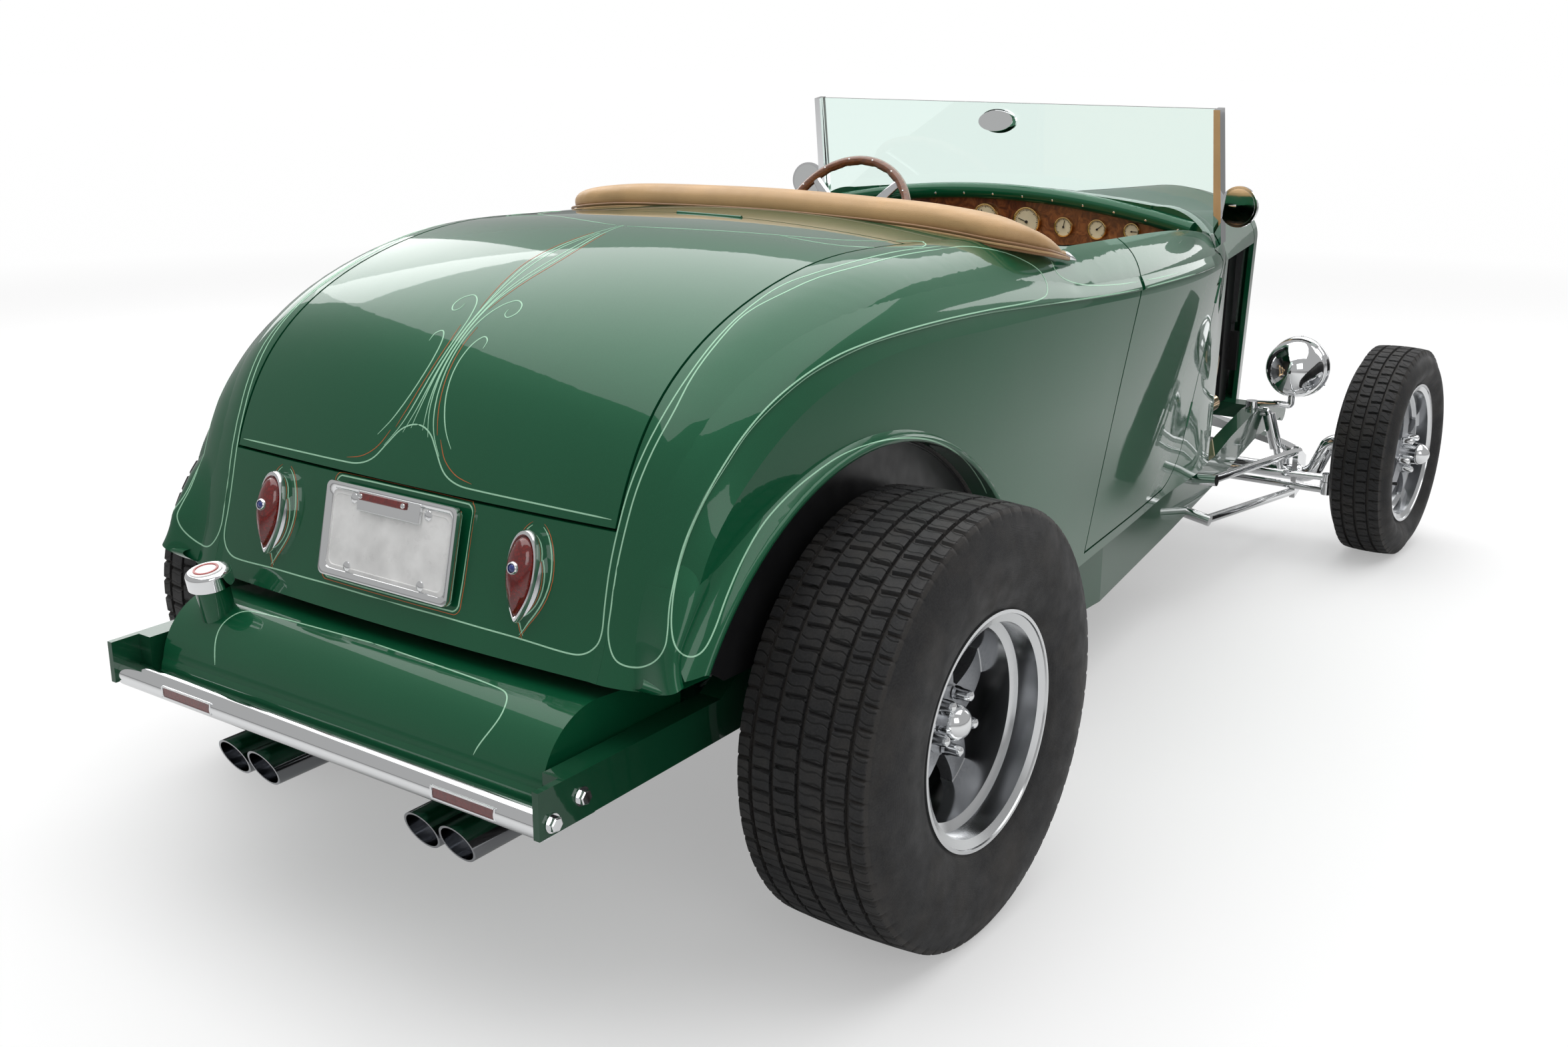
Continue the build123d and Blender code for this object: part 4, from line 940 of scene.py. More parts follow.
@dataclass
class Bodywork:
    """Painted shell: its finishes and the raised crease along the belt."""

    camera: PhotoCamera
    arch_y: float = -1.160
    arch_z: float = 0.285
    flare_root: float = 0.598
    flare_end: float = 60.3
    corner_from: float = 40.0
    shelf_x: float = 0.6085
    cut_tilt: float = 0.70
    body_x: tuple[float, float] = (0.500, 0.530)
    well_roof: tuple[float, float] = (0.5410, 0.5435)
    height: float = 0.0065
    fade: float = 0.072
    door_fade: float = 0.034
    # Lower edge of the crease, from the tail forwards, in the photograph
    crease: Pixels = (
        (1008, 882), (1017, 850), (1033, 800), (1056, 750), (1086, 701), (1121, 648), (1163, 604),
        (1208, 566), (1253, 539), (1303, 516), (1357, 499), (1417, 483), (1482, 469), (1536, 461),
        (1596, 453), (1621, 450), (1665, 443), (1712, 434), (1753, 422), (1791, 411), (1816, 401),
    )

    def paint(self) -> None:
        """Gives the painted CAD nodes their lacquer and rounds their edges a little."""
        dress(BODY_GREEN, *PAINTED)
        dress(FRAME_GREEN, "frame_rails", "crossmembers")
        for name in PAINTED + ("frame_rails", "crossmembers"):
            round_edges(NODES[name], 0.0015, 40)

    def feet(self, skin: Skin, spot: Contact, up: Vector, reaches: list[float]) -> list[Contact]:
        """Walks up the surface from a spot, in steps, and returns the places reached."""
        made, done = [], 0.0
        here = spot
        for reach in reaches:
            aim = here.place + up * (reach - done)
            found = skin.hit(aim + here.normal * 0.015, -here.normal)
            if found and found.body == spot.body and (found.place - aim).length < 0.004:
                normal = (here.normal + found.normal).normalized()
                here = Contact(found.place, normal, spot.body)
            else:
                here = Contact(aim, here.normal, spot.body)
            up = (up - here.normal * up.dot(here.normal)).normalized()
            done = reach
            made.append(here)
        return made

    def strip(self, skin: Skin, run: list[Contact]) -> list[list[Vector]]:
        """Cross-sections of the crease: a sharp lower edge that fades out above.

        Args:
            skin: the painted surface.
            run: the spots along the lower edge.
        Returns:
            for each spot the section's points, over the top and back below the paint.
        """
        shares = (0.07, 0.14, 0.22, 0.31, 0.41, 0.52, 0.64, 0.77, 0.89, 1.0)
        walks, fades = [], []
        for index, spot in enumerate(run):
            ahead = run[min(index + 1, len(run) - 1)].place - run[max(index - 1, 0)].place
            up = spot.normal.cross(ahead).normalized()
            front = max(0.0, min(1.0, (spot.along - 0.62) / 0.12))
            fade = self.fade + (self.door_fade - self.fade) * front
            fades.append(fade)
            walks.append(self.feet(skin, spot, up, [fade * t for t in shares]))
        for _ in range(6):
            for k in range(len(shares)):
                places = [walk[k].place.copy() for walk in walks]
                for i in range(1, len(walks) - 1):
                    walks[i][k].place = (places[i - 1] + places[i] * 2 + places[i + 1]) / 4
        rows = []
        for spot, walk, fade in zip(run, walks, fades):
            height = self.height * min(1.0, 0.05 + spot.along / 0.16)
            up = (walk[0].place - spot.place).normalized()
            line = [spot.place + up * a + spot.normal * b for a, b in
                    ((-0.0012, -0.0015), (0.0, 0.55 * height), (0.0012, 0.9 * height),
                     (0.0034, height))]
            lifts = [height * (1 - t) ** 2 * (1 + 2 * t) - 0.0006 * t ** 4 for t in shares]
            line += [foot.place + foot.normal * lift for foot, lift in zip(walk, lifts)]
            under = [foot.place - foot.normal * 0.0020 for foot in walk]
            rows.append(line + under[::-1] + [spot.place - spot.normal * 0.0020])
        return rows

    def quarters(self) -> bpy.types.Object:
        """The quarters without the free ends of the two flares behind the body's corner."""
        bm = bmesh.new()
        bm.from_mesh(NODES["body_quarters"].data)
        lean = math.radians(self.flare_end)
        down = Vector((0, -math.cos(lean), -math.sin(lean)))
        hub = Vector((0, self.arch_y, self.arch_z))
        for side in Side:
            far = [f for f in bm.faces if all(
                v.co.x * side.value > self.flare_root - 0.0005 and (v.co - hub).dot(down) > -0.06
                and v.co.y < self.arch_y and (Vector((0, v.co.y, v.co.z)) - hub).length < 0.600
                for v in f.verts)]
            near = {v for f in far for v in f.verts} | {e for f in far for e in f.edges}
            bmesh.ops.bisect_plane(bm, geom=far + list(near), clear_outer=True,
                                   plane_co=hub + Vector((side.value * self.shelf_x, 0, 0)),
                                   plane_no=down + Vector((side.value * self.cut_tilt, 0, 0)))
        made = linked("quarter_panels", bm)
        made.data.materials.append(BODY_GREEN.material)
        made.data.shade_smooth()
        made.data.set_sharp_from_angle(angle=math.radians(35))
        made["on_body"] = "chassis"
        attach(made, "chassis")
        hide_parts("body_quarters")
        return made

    def corner(self, skin: Skin, side: Side) -> bpy.types.Object:
        """Panel that carries the body round its lower rear corner to the flare's shelf.

        Args:
            skin: the body's own surface.
            side: which side of the car.
        Returns:
            the panel.
        """
        hub = Vector((0, self.arch_y, self.arch_z))
        rows, steps = 44, 24

        def place(lean: float, r: float, x: float) -> Vector:
            """Point at a lean in degrees and a radius about the wheel arch, that far out."""
            turn = math.radians(lean)
            return hub + Vector((side.value * x, -math.sin(turn) * r, math.cos(turn) * r))

        def radius(lean: float, x: float) -> float:
            """Radius at which the body's rounded corner is that far out, clear of the flare."""
            r = 0.70
            while r > 0.54:
                found = skin.hit(place(lean, r, self.flare_root - 0.0005), (-side.value, 0, 0))
                if found and found.place.x * side.value > x:
                    break
                r -= 0.0005
            return r

        leans = (40.0, 45.0, 50.0, 55.0, 59.0, 63.0)
        edges = [[radius(lean, x) for lean in leans] for x in self.body_x]
        grid = []
        for i in range(rows + 1):
            t = i / rows
            line = []
            for k in range(steps + 1):
                s = k / steps
                end = self.flare_end + 0.1 + 2.4 * (1 - s ** 3)
                lean = self.corner_from + (end - self.corner_from) * t
                outer, inner = (spread(leans, edge, lean) for edge in edges)
                along = Vector((inner - outer, self.body_x[1] - self.body_x[0])).normalized()
                out = Vector((along.y, -along.x))
                first = Vector((outer, self.body_x[0])) - out * (0.0022 + 0.005 * t ** 4)
                fall = max(0.0, lean - 56.0) / 5
                last = Vector((0.5830 - 0.0165 * fall, self.shelf_x + 0.0145 * fall * fall))
                reach = (last - first).length
                sink = 0.010 * max(0.0, 1 - t * 2.6) ** 1.5
                second = first + along * reach * 0.42 + out * (0.004 - 0.003 * t ** 4)
                third = last + Vector((0.36 * reach, 0.001))
                r, x = (first * (1 - s) ** 3 + second * 3 * s * (1 - s) ** 2
                        + third * 3 * s * s * (1 - s) + last * s ** 3)
                line.append(place(lean, r - sink, x - sink))
            grid.append(line)
        inward = Vector((-side.value, 0, 0))
        grid.append([p + inward * 0.004 + Vector((0, 0.002, -0.002)) for p in grid[-1]])
        grid.append([p + inward * 0.075 * k / steps for k, p in enumerate(grid[-1])])
        return Shape().grid(grid).piece(f"body_corner_{side.word}", BODY_GREEN, crease=50)

    def well(self, side: Side) -> None:
        """Lines a rear wheel's well with a black sheet, an inner wall and a roof under the arch:
        painted shade inside the arch.
        """
        low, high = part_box(f"tyre_rear_{side.word}")
        wall, lip = min(abs(low[0]), abs(high[0])) - 0.016, self.flare_root - 0.012
        low_roof, high_roof = self.well_roof
        rows = []
        for i in range(49):
            lean = math.radians(-56 + 112 * i / 48)
            inner = max(0.30, 0.235 / math.cos(lean))
            rows.append([Vector((side.value * x, self.arch_y - math.sin(lean) * r,
                                 self.arch_z + math.cos(lean) * r))
                         for x, r in ((wall, inner), (wall, low_roof), (lip, low_roof),
                                      (lip, high_roof), (wall - 0.003, high_roof),
                                      (wall - 0.003, inner))])
        # The black sheet is painted shade: it darkens the arch where shadow falls.
        Shape().grid(rows, around=True, ends=True).piece(f"wheel_well_{side.word}", BLACK)

    def build(self) -> list[bpy.types.Object]:
        """Paints the body, rounds its rear corners, raises the crease; returns the pieces."""
        self.paint()
        for side in Side:
            self.well(side)
        quarters = self.quarters()
        skin = Skin("body_quarters")
        pieces = [quarters] + [self.corner(skin, side) for side in Side]
        others = [name for name in PAINTED if name != "body_quarters"]
        skin = Skin(*others, *pieces)
        for number, run in enumerate(skin.trace(self.camera, self.crease, 10)):
            for spots in (run, [spot.mirrored() for spot in run][::-1]):
                spots = [skin.settle(spot) for spot in spots]
                side = Side.RIGHT if spots[0].place.x > 0 else Side.LEFT
                shape = Shape().grid(self.strip(skin, spots), around=True, ends=True)
                pieces.append(shape.piece(f"belt_crease_{side.word}_{number}", BODY_GREEN,
                                          spots[0].body, crease=50))
        return pieces


@dataclass
class Pinstripes:
    """Brush lines on the paint, traced through the photograph's camera and mirrored."""

    camera: PhotoCamera
    wide: float = 0.0028
    hair: float = 0.0013
    proud: float = 0.0004
    deck_centre: tuple[float, float] = (-0.95, 0.60)
    deck_reach: float = 0.58
    loops: tuple[Pixels, ...] = (
        ((1417, 372), (1352, 382), (1293, 397), (1228, 415), (1178, 437), (1118, 469), (1076, 512),
         (1038, 563), (1009, 618), (979, 673), (954, 733), (937, 793), (924, 852), (916, 907),
         (911, 952), (922, 989), (952, 1000), (979, 992), (995, 972), (1000, 947), (1003, 907),
         (1012, 862), (1026, 812), (1049, 760), (1076, 710), (1111, 656), (1153, 606), (1203, 564),
         (1253, 533), (1303, 512), (1357, 494), (1417, 478), (1482, 464), (1531, 455), (1559, 448),
         (1569, 438), (1566, 419), (1551, 400), (1516, 382), (1482, 373), (1447, 369)),
    )
    lines: tuple[Pixels, ...] = (
        ((1409, 369), (1347, 376), (1283, 391), (1218, 410), (1168, 429), (1118, 464), (1074, 507),
         (1034, 559), (999, 613), (969, 668), (944, 728), (927, 788), (914, 848), (906, 907),
         (902, 946), (893, 968), (873, 980), (845, 977), (777, 956), (720, 940),
         (662, 923), (604, 907), (532, 886), (461, 864)),
        ((1478, 739), (1467, 718), (1447, 691), (1422, 671), (1392, 659), (1357, 656), (1317, 661),
         (1268, 678), (1228, 703), (1183, 740), (1143, 785), (1113, 837), (1089, 892), (1071, 942),
         (1054, 974), (1034, 984), (1014, 972), (1006, 942), (1008, 897), (1017, 850), (1033, 800),
         (1056, 750), (1086, 701), (1121, 648), (1163, 604), (1208, 566), (1253, 539), (1303, 516),
         (1357, 499), (1417, 483), (1482, 469), (1536, 461), (1596, 452), (1621, 448), (1665, 441),
         (1712, 432), (1753, 421), (1791, 410)),
        ((1575, 391), (1583, 408), (1599, 420), (1627, 427), (1660, 427), (1698, 423), (1753, 412),
         (1808, 395)),
        ((820, 334), (939, 339), (1099, 347), (1268, 360), (1372, 361), (1383, 363), (1387, 366),
         (1383, 369), (1370, 370), (1267, 369), (1168, 353)),
    )
    tank: Pixels = ((322, 996), (323, 959), (335, 933), (363, 916), (398, 920), (478, 941),
                    (547, 960), (563, 964), (569, 958))

    def __post_init__(self) -> None:
        """Starts with no strokes."""
        self.shapes: dict[tuple[Finish, str], Shape] = {}

    def stroke(self, run: list[Contact], finish: Finish, wide: float, point: bool = False) -> None:
        """Adds one brush line.

        Args:
            run: the spots that it passes.
            finish: its colour.
            wide: its width.
            point: whether both ends run out to a point.
        """
        rows = []
        count = len(run)
        for i, spot in enumerate(run):
            ahead = run[min(i + 1, count - 1)].place - run[max(i - 1, 0)].place
            side = spot.normal.cross(ahead).normalized()
            reach = min(1.0, 0.3 + min(i, count - 1 - i) / (count * 0.25 if point else 4))
            half = side * wide * reach / 2
            rows.append([spot.place + half * a + spot.normal * up * self.proud
                         for a, up in ((-1, -0.6), (-0.8, 1), (0.8, 1), (1, -0.6))])
        shape = self.shapes.setdefault((finish, run[0].body), Shape())
        shape.grid(rows, around=True, ends=True)

    def both(self, skin: Skin, run: list[Contact], finish: Finish, wide: float,
             point: bool = False) -> None:
        """Adds a line and its mirror image."""
        self.stroke(run, finish, wide, point)
        self.stroke([skin.settle(spot.mirrored()) for spot in run], finish, wide, point)

    def across_deck(self, skin: Skin, x: float, s: float) -> Contact | None:
        """The spot on the deck lid at a place across and a way up from its lower edge."""
        angle = self.deck_low + s / self.deck_reach
        y, z = self.deck_centre
        out = Vector((0, -math.cos(angle), math.sin(angle)))
        found = skin.hit(Vector((x, y, z)) + out * 1.5, -out)
        return found if found and found.body == "deck" else None

    def flourish(self, skin: Skin, stops: Pixels, finish: Finish, wide: float,
                 point: bool) -> None:
        """Lays one stroke of the scroll and its mirror image on the deck lid."""
        line = flow([(x, s, 0) for x, s in stops], 10)
        run = [spot for spot in (self.across_deck(skin, p.x, p.y) for p in line) if spot]
        if len(run) > 4:
            self.both(skin, skin.even(run), finish, wide, point)

    def scroll(self, skin: Skin) -> None:
        """Symmetrical flourish on the deck's middle: a spear between two pairs of volutes."""
        self.deck_low = 0.0
        for tenth in range(40, 600):
            self.deck_low = math.radians(tenth / 10)
            if self.across_deck(skin, 0.2, 0.0):
                break
        strokes = (
            # (x, s) from the deck's lower edge, in metres
            ((0.440, 0.012), (0.300, 0.012), (0.170, 0.012), (0.120, 0.014), (0.085, 0.026),
             (0.058, 0.052), (0.038, 0.072), (0.018, 0.082), (0.0005, 0.085)),
            ((0.066, 0.047), (0.040, 0.078), (0.024, 0.115), (0.014, 0.165), (0.010, 0.215),
             (0.013, 0.262), (0.028, 0.300), (0.050, 0.318), (0.070, 0.310), (0.076, 0.292),
             (0.066, 0.279), (0.054, 0.284), (0.052, 0.296)),
            ((0.030, 0.070), (0.014, 0.110), (0.006, 0.165), (0.004, 0.230), (0.006, 0.300),
             (0.016, 0.370), (0.024, 0.430), (0.022, 0.500), (0.010, 0.580), (0.0006, 0.660)),
            ((0.014, 0.078), (0.006, 0.130), (0.003, 0.210), (0.004, 0.320), (0.010, 0.400),
             (0.013, 0.460), (0.010, 0.520), (0.0006, 0.590)),
            ((0.088, 0.060), (0.062, 0.088), (0.040, 0.130), (0.030, 0.175), (0.034, 0.215),
             (0.048, 0.236), (0.062, 0.230), (0.064, 0.215)),
        )
        for number, stops in enumerate(strokes):
            self.flourish(skin, stops, MINT, 0.0026 if number else self.wide, number > 0)
        for stops in (
            ((0.050, 0.075), (0.033, 0.115), (0.021, 0.165), (0.017, 0.215), (0.020, 0.252)),
            ((0.010, 0.290), (0.024, 0.370), (0.032, 0.430), (0.029, 0.500), (0.014, 0.590)),
            ((0.150, 0.019), (0.112, 0.026), (0.080, 0.044), (0.060, 0.070)),
        ):
            self.flourish(skin, stops, AMBER, self.hair, True)

    def framed(self, skin: Skin, line: list[Vector], out: Vector, finish: Finish, wide: float,
               loop: bool, point: bool = False) -> None:
        """Lays a line of places near the tail on its panel."""
        run = [skin.hit(p + out * 0.05, -out) for p in (line + line[:2] if loop else line)]
        self.stroke(skin.even([spot for spot in run if spot], 1), finish, wide, point)

    def tail(self, skin: Skin, tail: "Tail") -> None:
        """Lines round the lamps and the plate."""
        out = tail.turn.col[2].copy()
        for side in Side:
            for finish, wide, grow in ((MINT, self.wide, 0.0125), (AMBER, self.hair, 0.0175)):
                for half in (-1, 1):
                    line = tail.bracket(side, half, grow)
                    self.framed(skin, line, out, finish, wide, False, True)
        for finish, wide, grow in ((MINT, self.wide, 0.012), (AMBER, self.hair, 0.0165)):
            line = tail.frame(Vector(tail.lamp_place), grow, 0.016)
            self.framed(skin, line, out, finish, wide, True)

    def build(self, tail: "Tail", creases: list[bpy.types.Object]) -> None:
        """Paints every line and hands the strokes over, one piece for each colour and body."""
        skin = Skin(*[name for name in PAINTED if name != "body_quarters"], *creases)
        for pixels in self.loops:
            for run in skin.trace(self.camera, pixels, 8, loop=True):
                self.both(skin, run, MINT, self.wide)
        for pixels in self.lines:
            for run in skin.trace(self.camera, pixels, 8):
                self.both(skin, run, MINT, self.wide)
        for run in skin.trace(self.camera, self.tank, 8, side=-1):
            self.both(skin, run, MINT, self.wide)
        self.scroll(skin)
        self.tail(skin, tail)
        for (finish, body), shape in self.shapes.items():
            shape.piece(f"{finish.name}_{body}", finish, body)


# ---- Tyres and wheels


@dataclass
class Tyre:
    """One road tyre with blocks cut in its tread."""

    side: Side
    end: str
    hub: Point
    half_section: float
    half_tread: float
    half_bead: float
    bead: float
    widest: float
    pitches: int = 64
    per_pitch: int = 8
    rib_edges: tuple[float, ...] = (-0.74, -0.40, 0.0, 0.40, 0.74)

    @property
    def radius(self) -> float:
        """The tyre stands on the floor, so its radius is its hub's height."""
        return self.hub[2]

    @property
    def node(self) -> str:
        """The CAD tyre that this one takes the place of."""
        return f"tyre_{self.end}_{self.side.word}"

    def crown(self, u: float) -> float:
        """Radius of the tread at a share of its half width."""
        return self.radius - 0.0045 * abs(u) ** 2.4

    def build(self) -> None:
        """Skins profile rows round the axle, with grooves, blocks and sipes."""
        steps = self.pitches * self.per_pitch
        inner = [(-self.half_bead, self.bead), (-self.half_bead - 0.004, self.bead + 0.014),
                 (-self.half_bead - 0.012, self.bead + 0.026)]
        mid = self.widest
        top = self.radius - 0.020
        wall = [(-self.half_bead - 0.012 - (self.half_section - self.half_bead - 0.012)
                 * math.sin(math.pi / 2 * t), self.bead + 0.026 + (mid - self.bead - 0.026) * t)
                for t in (0.12, 0.25, 0.4, 0.55, 0.7, 0.85, 1.0)]
        wall += [(-self.half_section + (self.half_section - self.half_tread - 0.003) * (t ** 2.2),
                  mid + (top - mid) * t) for t in (0.15, 0.3, 0.45, 0.6, 0.75, 0.88, 1.0)]
        rows: list[tuple[float, float, str]] = []
        for x, r in inner + wall:
            rows.append((x, r, "wall"))
        rows.append((-self.half_tread - 0.001, self.radius - 0.013, "shoulder"))
        rows.append((-self.half_tread + 0.003, self.radius - 0.007, "shoulder"))
        across: list[tuple[float, str]] = [(-0.955, "block")]
        groove = 0.0033 / self.half_tread
        for edge in self.rib_edges:
            across += [(edge - groove * 1.25, "block"), (edge - groove, "groove"),
                       (edge + groove, "groove"), (edge + groove * 1.25, "block")]
        across.append((0.955, "block"))
        filled: list[tuple[float, str]] = []
        for (a, kind_a), (b, kind_b) in zip(across, across[1:]):
            filled.append((a, kind_a))
            if kind_a == kind_b == "block" and b - a > 0.1:
                filled += [(a + (b - a) * t, "block") for t in (0.33, 0.67)]
        filled.append(across[-1])
        rows += [(u * self.half_tread, self.crown(u), kind) for u, kind in filled]
        rows.append((self.half_tread - 0.003, self.radius - 0.007, "shoulder"))
        rows.append((self.half_tread + 0.001, self.radius - 0.013, "shoulder"))
        rows += [(-x, r, "wall") for x, r in reversed(inner + wall)]
        centre = Vector(self.hub)
        grid = []
        for step in range(steps):
            line = []
            for x, r, kind in rows:
                u = x / self.half_tread
                rib = sum(1 for e in self.rib_edges if u > e)
                slant = 0.55 * (1 if rib % 2 else -1) * u / self.pitches * math.tau * 0.9
                shift = step + rib * self.per_pitch // 2
                angle = math.tau * step / steps + slant / 3
                cut = 0.0
                if kind == "groove":
                    cut = 0.0072
                elif kind == "block" and shift % self.per_pitch == 0:
                    cut = 0.0055
                elif kind == "shoulder" and shift % self.per_pitch == 0:
                    cut = 0.004
                rad = r - cut
                line.append(centre + Vector((x, rad * math.cos(angle), rad * math.sin(angle))))
            grid.append(line)
        shape = Shape().grid(grid, around=True, along=True)
        finish = Rubber(f"tyre_rubber_{self.end}", self.hub[1], self.hub[2], self.radius,
                        self.half_tread, self.pitches, abs(self.hub[0]))
        made = shape.piece(f"road_{self.node}", finish, f"wheel_{self.end}_{self.side.word}",
                           crease=32)
        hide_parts(self.node)


@dataclass
class Wheel:
    """Dressing of one cast wheel: finish, nuts, valve."""

    side: Side
    end: str
    hub: Point
    face: float
    reach: float
    nut_circle: float = 0.0605
    nut_count: int = 5

    def build(self) -> None:
        """Dresses the CAD wheel and bolts it on."""
        s = self.side.value
        body = f"wheel_{self.end}_{self.side.word}"
        finish = WheelMetal(f"cast_wheel_{self.end}", self.hub[1], self.hub[2])
        dress(finish, body)
        out = (s, 0, 0)
        nuts = Shape()
        for k in range(self.nut_count):
            a = math.radians(90 + 36 + 72 * k)
            place = Vector(self.hub) + Vector((s * self.face, self.nut_circle * math.cos(a) * 0.82,
                                               self.nut_circle * math.sin(a) * 0.82))
            nuts.lathe([(-0.002, 0.0125), (0.006, 0.0125), (0.012, 0.0105), (0.024, 0.0100),
                        (0.030, 0.0080), (0.033, 0.003)], place, out, 18)
        nuts.piece(f"wheel_nuts_{self.end}_{self.side.word}", CHROME, body)
        stem = Shape()
        a = math.radians(200)
        base = Vector(self.hub) + Vector((s * self.reach, 0.176 * math.cos(a), 0.176 * math.sin(a)))
        lean = (s, -0.2 * math.cos(a), -0.2 * math.sin(a))
        stem.lathe([(-0.012, 0.006), (0.0, 0.006), (0.002, 0.0042), (0.020, 0.0042), (0.021, 0.005),
                    (0.030, 0.005), (0.031, 0.003)], base, lean, 14)
        stem.piece(f"valve_stem_{self.end}_{self.side.word}", BLACK, body)


# ---- Tail


@dataclass
class Tail:
    """Lamps, plate, bumper lenses and small hardware at the rear."""

    lamp_spread: float = 0.303
    lamp_place: Point = (0, -1.652, 0.675)
    lamp_lean: float = 13.5
    plate_size: tuple[float, float] = (0.3048, 0.1524)

    @property
    def turn(self) -> Matrix:
        """Turn whose Z leans with the tail panel and points backwards, X across the car."""
        lean = math.radians(self.lamp_lean)
        z = Vector((0, -math.cos(lean), math.sin(lean)))
        x = Vector((1, 0, 0))
        return Matrix((x, z.cross(x), z)).transposed()

    def drop(self, scale: float = 1.0, count: int = 44) -> list[tuple[float, float]]:
        """Teardrop outline, round above and pointed below."""
        line = []
        for k in range(count):
            a = math.tau * k / count - math.pi / 2
            width = 0.0335 * math.cos(a) * (1 - 0.16 * (1 - math.sin(a)))
            height = 0.0705 * math.sin(a) if math.sin(a) < 0 else 0.068 * math.sin(a)
            pinch = 1 - 0.55 * max(0.0, -math.sin(a)) ** 3
            line.append((width * pinch * scale, height * scale))
        return line

    def bracket(self, side: Side, half: int, grow: float) -> list[Vector]:
        """Half of a teardrop line that stands off a lamp, from its top to its point."""
        base = Vector(self.lamp_place) + Vector((side.value * self.lamp_spread, 0, 0))
        drop = self.drop()
        quarter = len(drop) // 4
        line = []
        for k in range(2 * quarter + 1):
            x, y = drop[(2 * quarter - k) % len(drop)]
            far = math.hypot(x, y) or 1.0
            share = k / (2 * quarter)
            stand = grow + 0.012 * max(0.0, share - 0.85) / 0.15
            x = abs(x) * (1 + grow / far) - 0.004 * max(0.0, share - 0.9) / 0.1
            line.append(base + self.turn @ Vector((half * x, y * (1 + stand / far), 0)))
        return line[2:]

    def frame(self, at: Vector, grow: float, corner: float, along: float = 0.0) -> list[Vector]:
        """Rounded rectangle that stands off the plate by an amount.

        Args:
            at: the plate's middle.
            grow: how far it stands off.
            corner: radius of its corners.
            along: how far it is raised.
        Returns:
            its points.
        """
        line = []
        for quarter in range(4):
            cx = (self.plate_size[0] / 2 + grow - corner) * (1 if quarter in (0, 3) else -1)
            cy = (self.plate_size[1] / 2 + grow - corner) * (1 if quarter in (0, 1) else -1)
            for k in range(7):
                a = math.pi / 2 * (quarter + k / 6)
                line.append(at + self.turn @ Vector((cx + corner * math.cos(a),
                                                     cy + corner * math.sin(a), along)))
        return line

    def lamp(self, side: Side) -> None:
        """Teardrop lamp: chrome rim, prismed red lens and a small blue dot in a ring."""
        turn = self.turn
        base = Vector(self.lamp_place) + Vector((side.value * self.lamp_spread, 0, 0))

        def row(scale: float, along: float) -> list[Vector]:
            """One outline at a height above the lamp's plane."""
            return [base + turn @ Vector((x, y, along)) for x, y in self.drop(scale)]

        rim = Shape().grid([row(1.0, -0.02), row(1.06, 0.0), row(1.07, 0.006), row(1.03, 0.011),
                            row(0.95, 0.012), row(0.90, 0.009), row(0.88, 0.003)], around=True)
        rim.piece(f"lamp_rim_{side.word}", CHROME)
        lens = Shape().grid([row(0.90, 0.004), row(0.88, 0.012), row(0.78, 0.019),
                             row(0.58, 0.0245), row(0.32, 0.0275), row(0.06, 0.0285)],
                            around=True, ends=True)
        lens.piece(f"lamp_lens_{side.word}", RED_LENS, crease=60)
        centre = base + turn @ Vector((0, 0.012, 0.026))
        Shape().lathe([(0, 0.0105), (0.004, 0.0105), (0.006, 0.009), (0.0055, 0.0075),
                       (0.002, 0.0072)], centre, turn.col[2], 30
                      ).piece(f"dot_ring_{side.word}", CHROME)
        Shape().lathe([(0, 0.0073), (0.0035, 0.0068), (0.006, 0.0045), (0.007, 0.0005)],
                      centre, turn.col[2], 24).piece(f"dot_lens_{side.word}", BLUE_LENS)

    def plate(self) -> None:
        """Blank embossed plate in a chrome frame, with its bolts and bracket."""
        turn = self.turn
        at = Vector(self.lamp_place) + turn @ Vector((0, 0, 0.008))
        half_y = self.plate_size[1] / 2
        rim = ((0.0035, -0.007), (0.0045, 0.001), (0.004, 0.0055), (0.0, 0.0065), (-0.006, 0.005),
               (-0.009, 0.001))
        face = ((-0.002, -0.001), (-0.002, 0.0008), (-0.0125, 0.0009), (-0.0135, 0.0018),
                (-0.0155, 0.0018), (-0.0165, 0.0006))
        Shape().grid([self.frame(at, grow, 0.012, along) for grow, along in rim],
                     around=True).piece("plate_frame", CHROME, crease=60)
        Shape().grid([self.frame(at, grow, 0.012, along) for grow, along in face],
                     around=True, ends=True).piece("plate_face", WHITE)
        bolts = Shape()
        for x in (-0.089, 0.089):
            for y in (-0.058, 0.058):
                bolts.lathe([(0, 0.0085), (0.002, 0.0085), (0.004, 0.006), (0.0045, 0.001)],
                            at + turn @ Vector((x, y, 0.0005)), turn.col[2], 20)
        bolts.piece("plate_bolts", CHROME)
        Shape().block(at + turn @ Vector((0, half_y - 0.019, 0.005)), (0.150, 0.034, 0.007), turn
                      ).piece("plate_bracket", CHROME, bevel=0.002)
        Shape().block(at + turn @ Vector((-0.012, half_y - 0.011, 0.010)), (0.112, 0.013, 0.005),
                      turn).piece("plate_light_strip", RED_LENS, bevel=0.002)
        rivets = Shape()
        for x in (-0.063, 0.039):
            rivets.lathe([(0, 0.0045), (0.002, 0.004), (0.003, 0.001)],
                         at + turn @ Vector((x, half_y - 0.011, 0.0122)), turn.col[2], 16)
        rivets.piece("plate_rivets", CHROME)

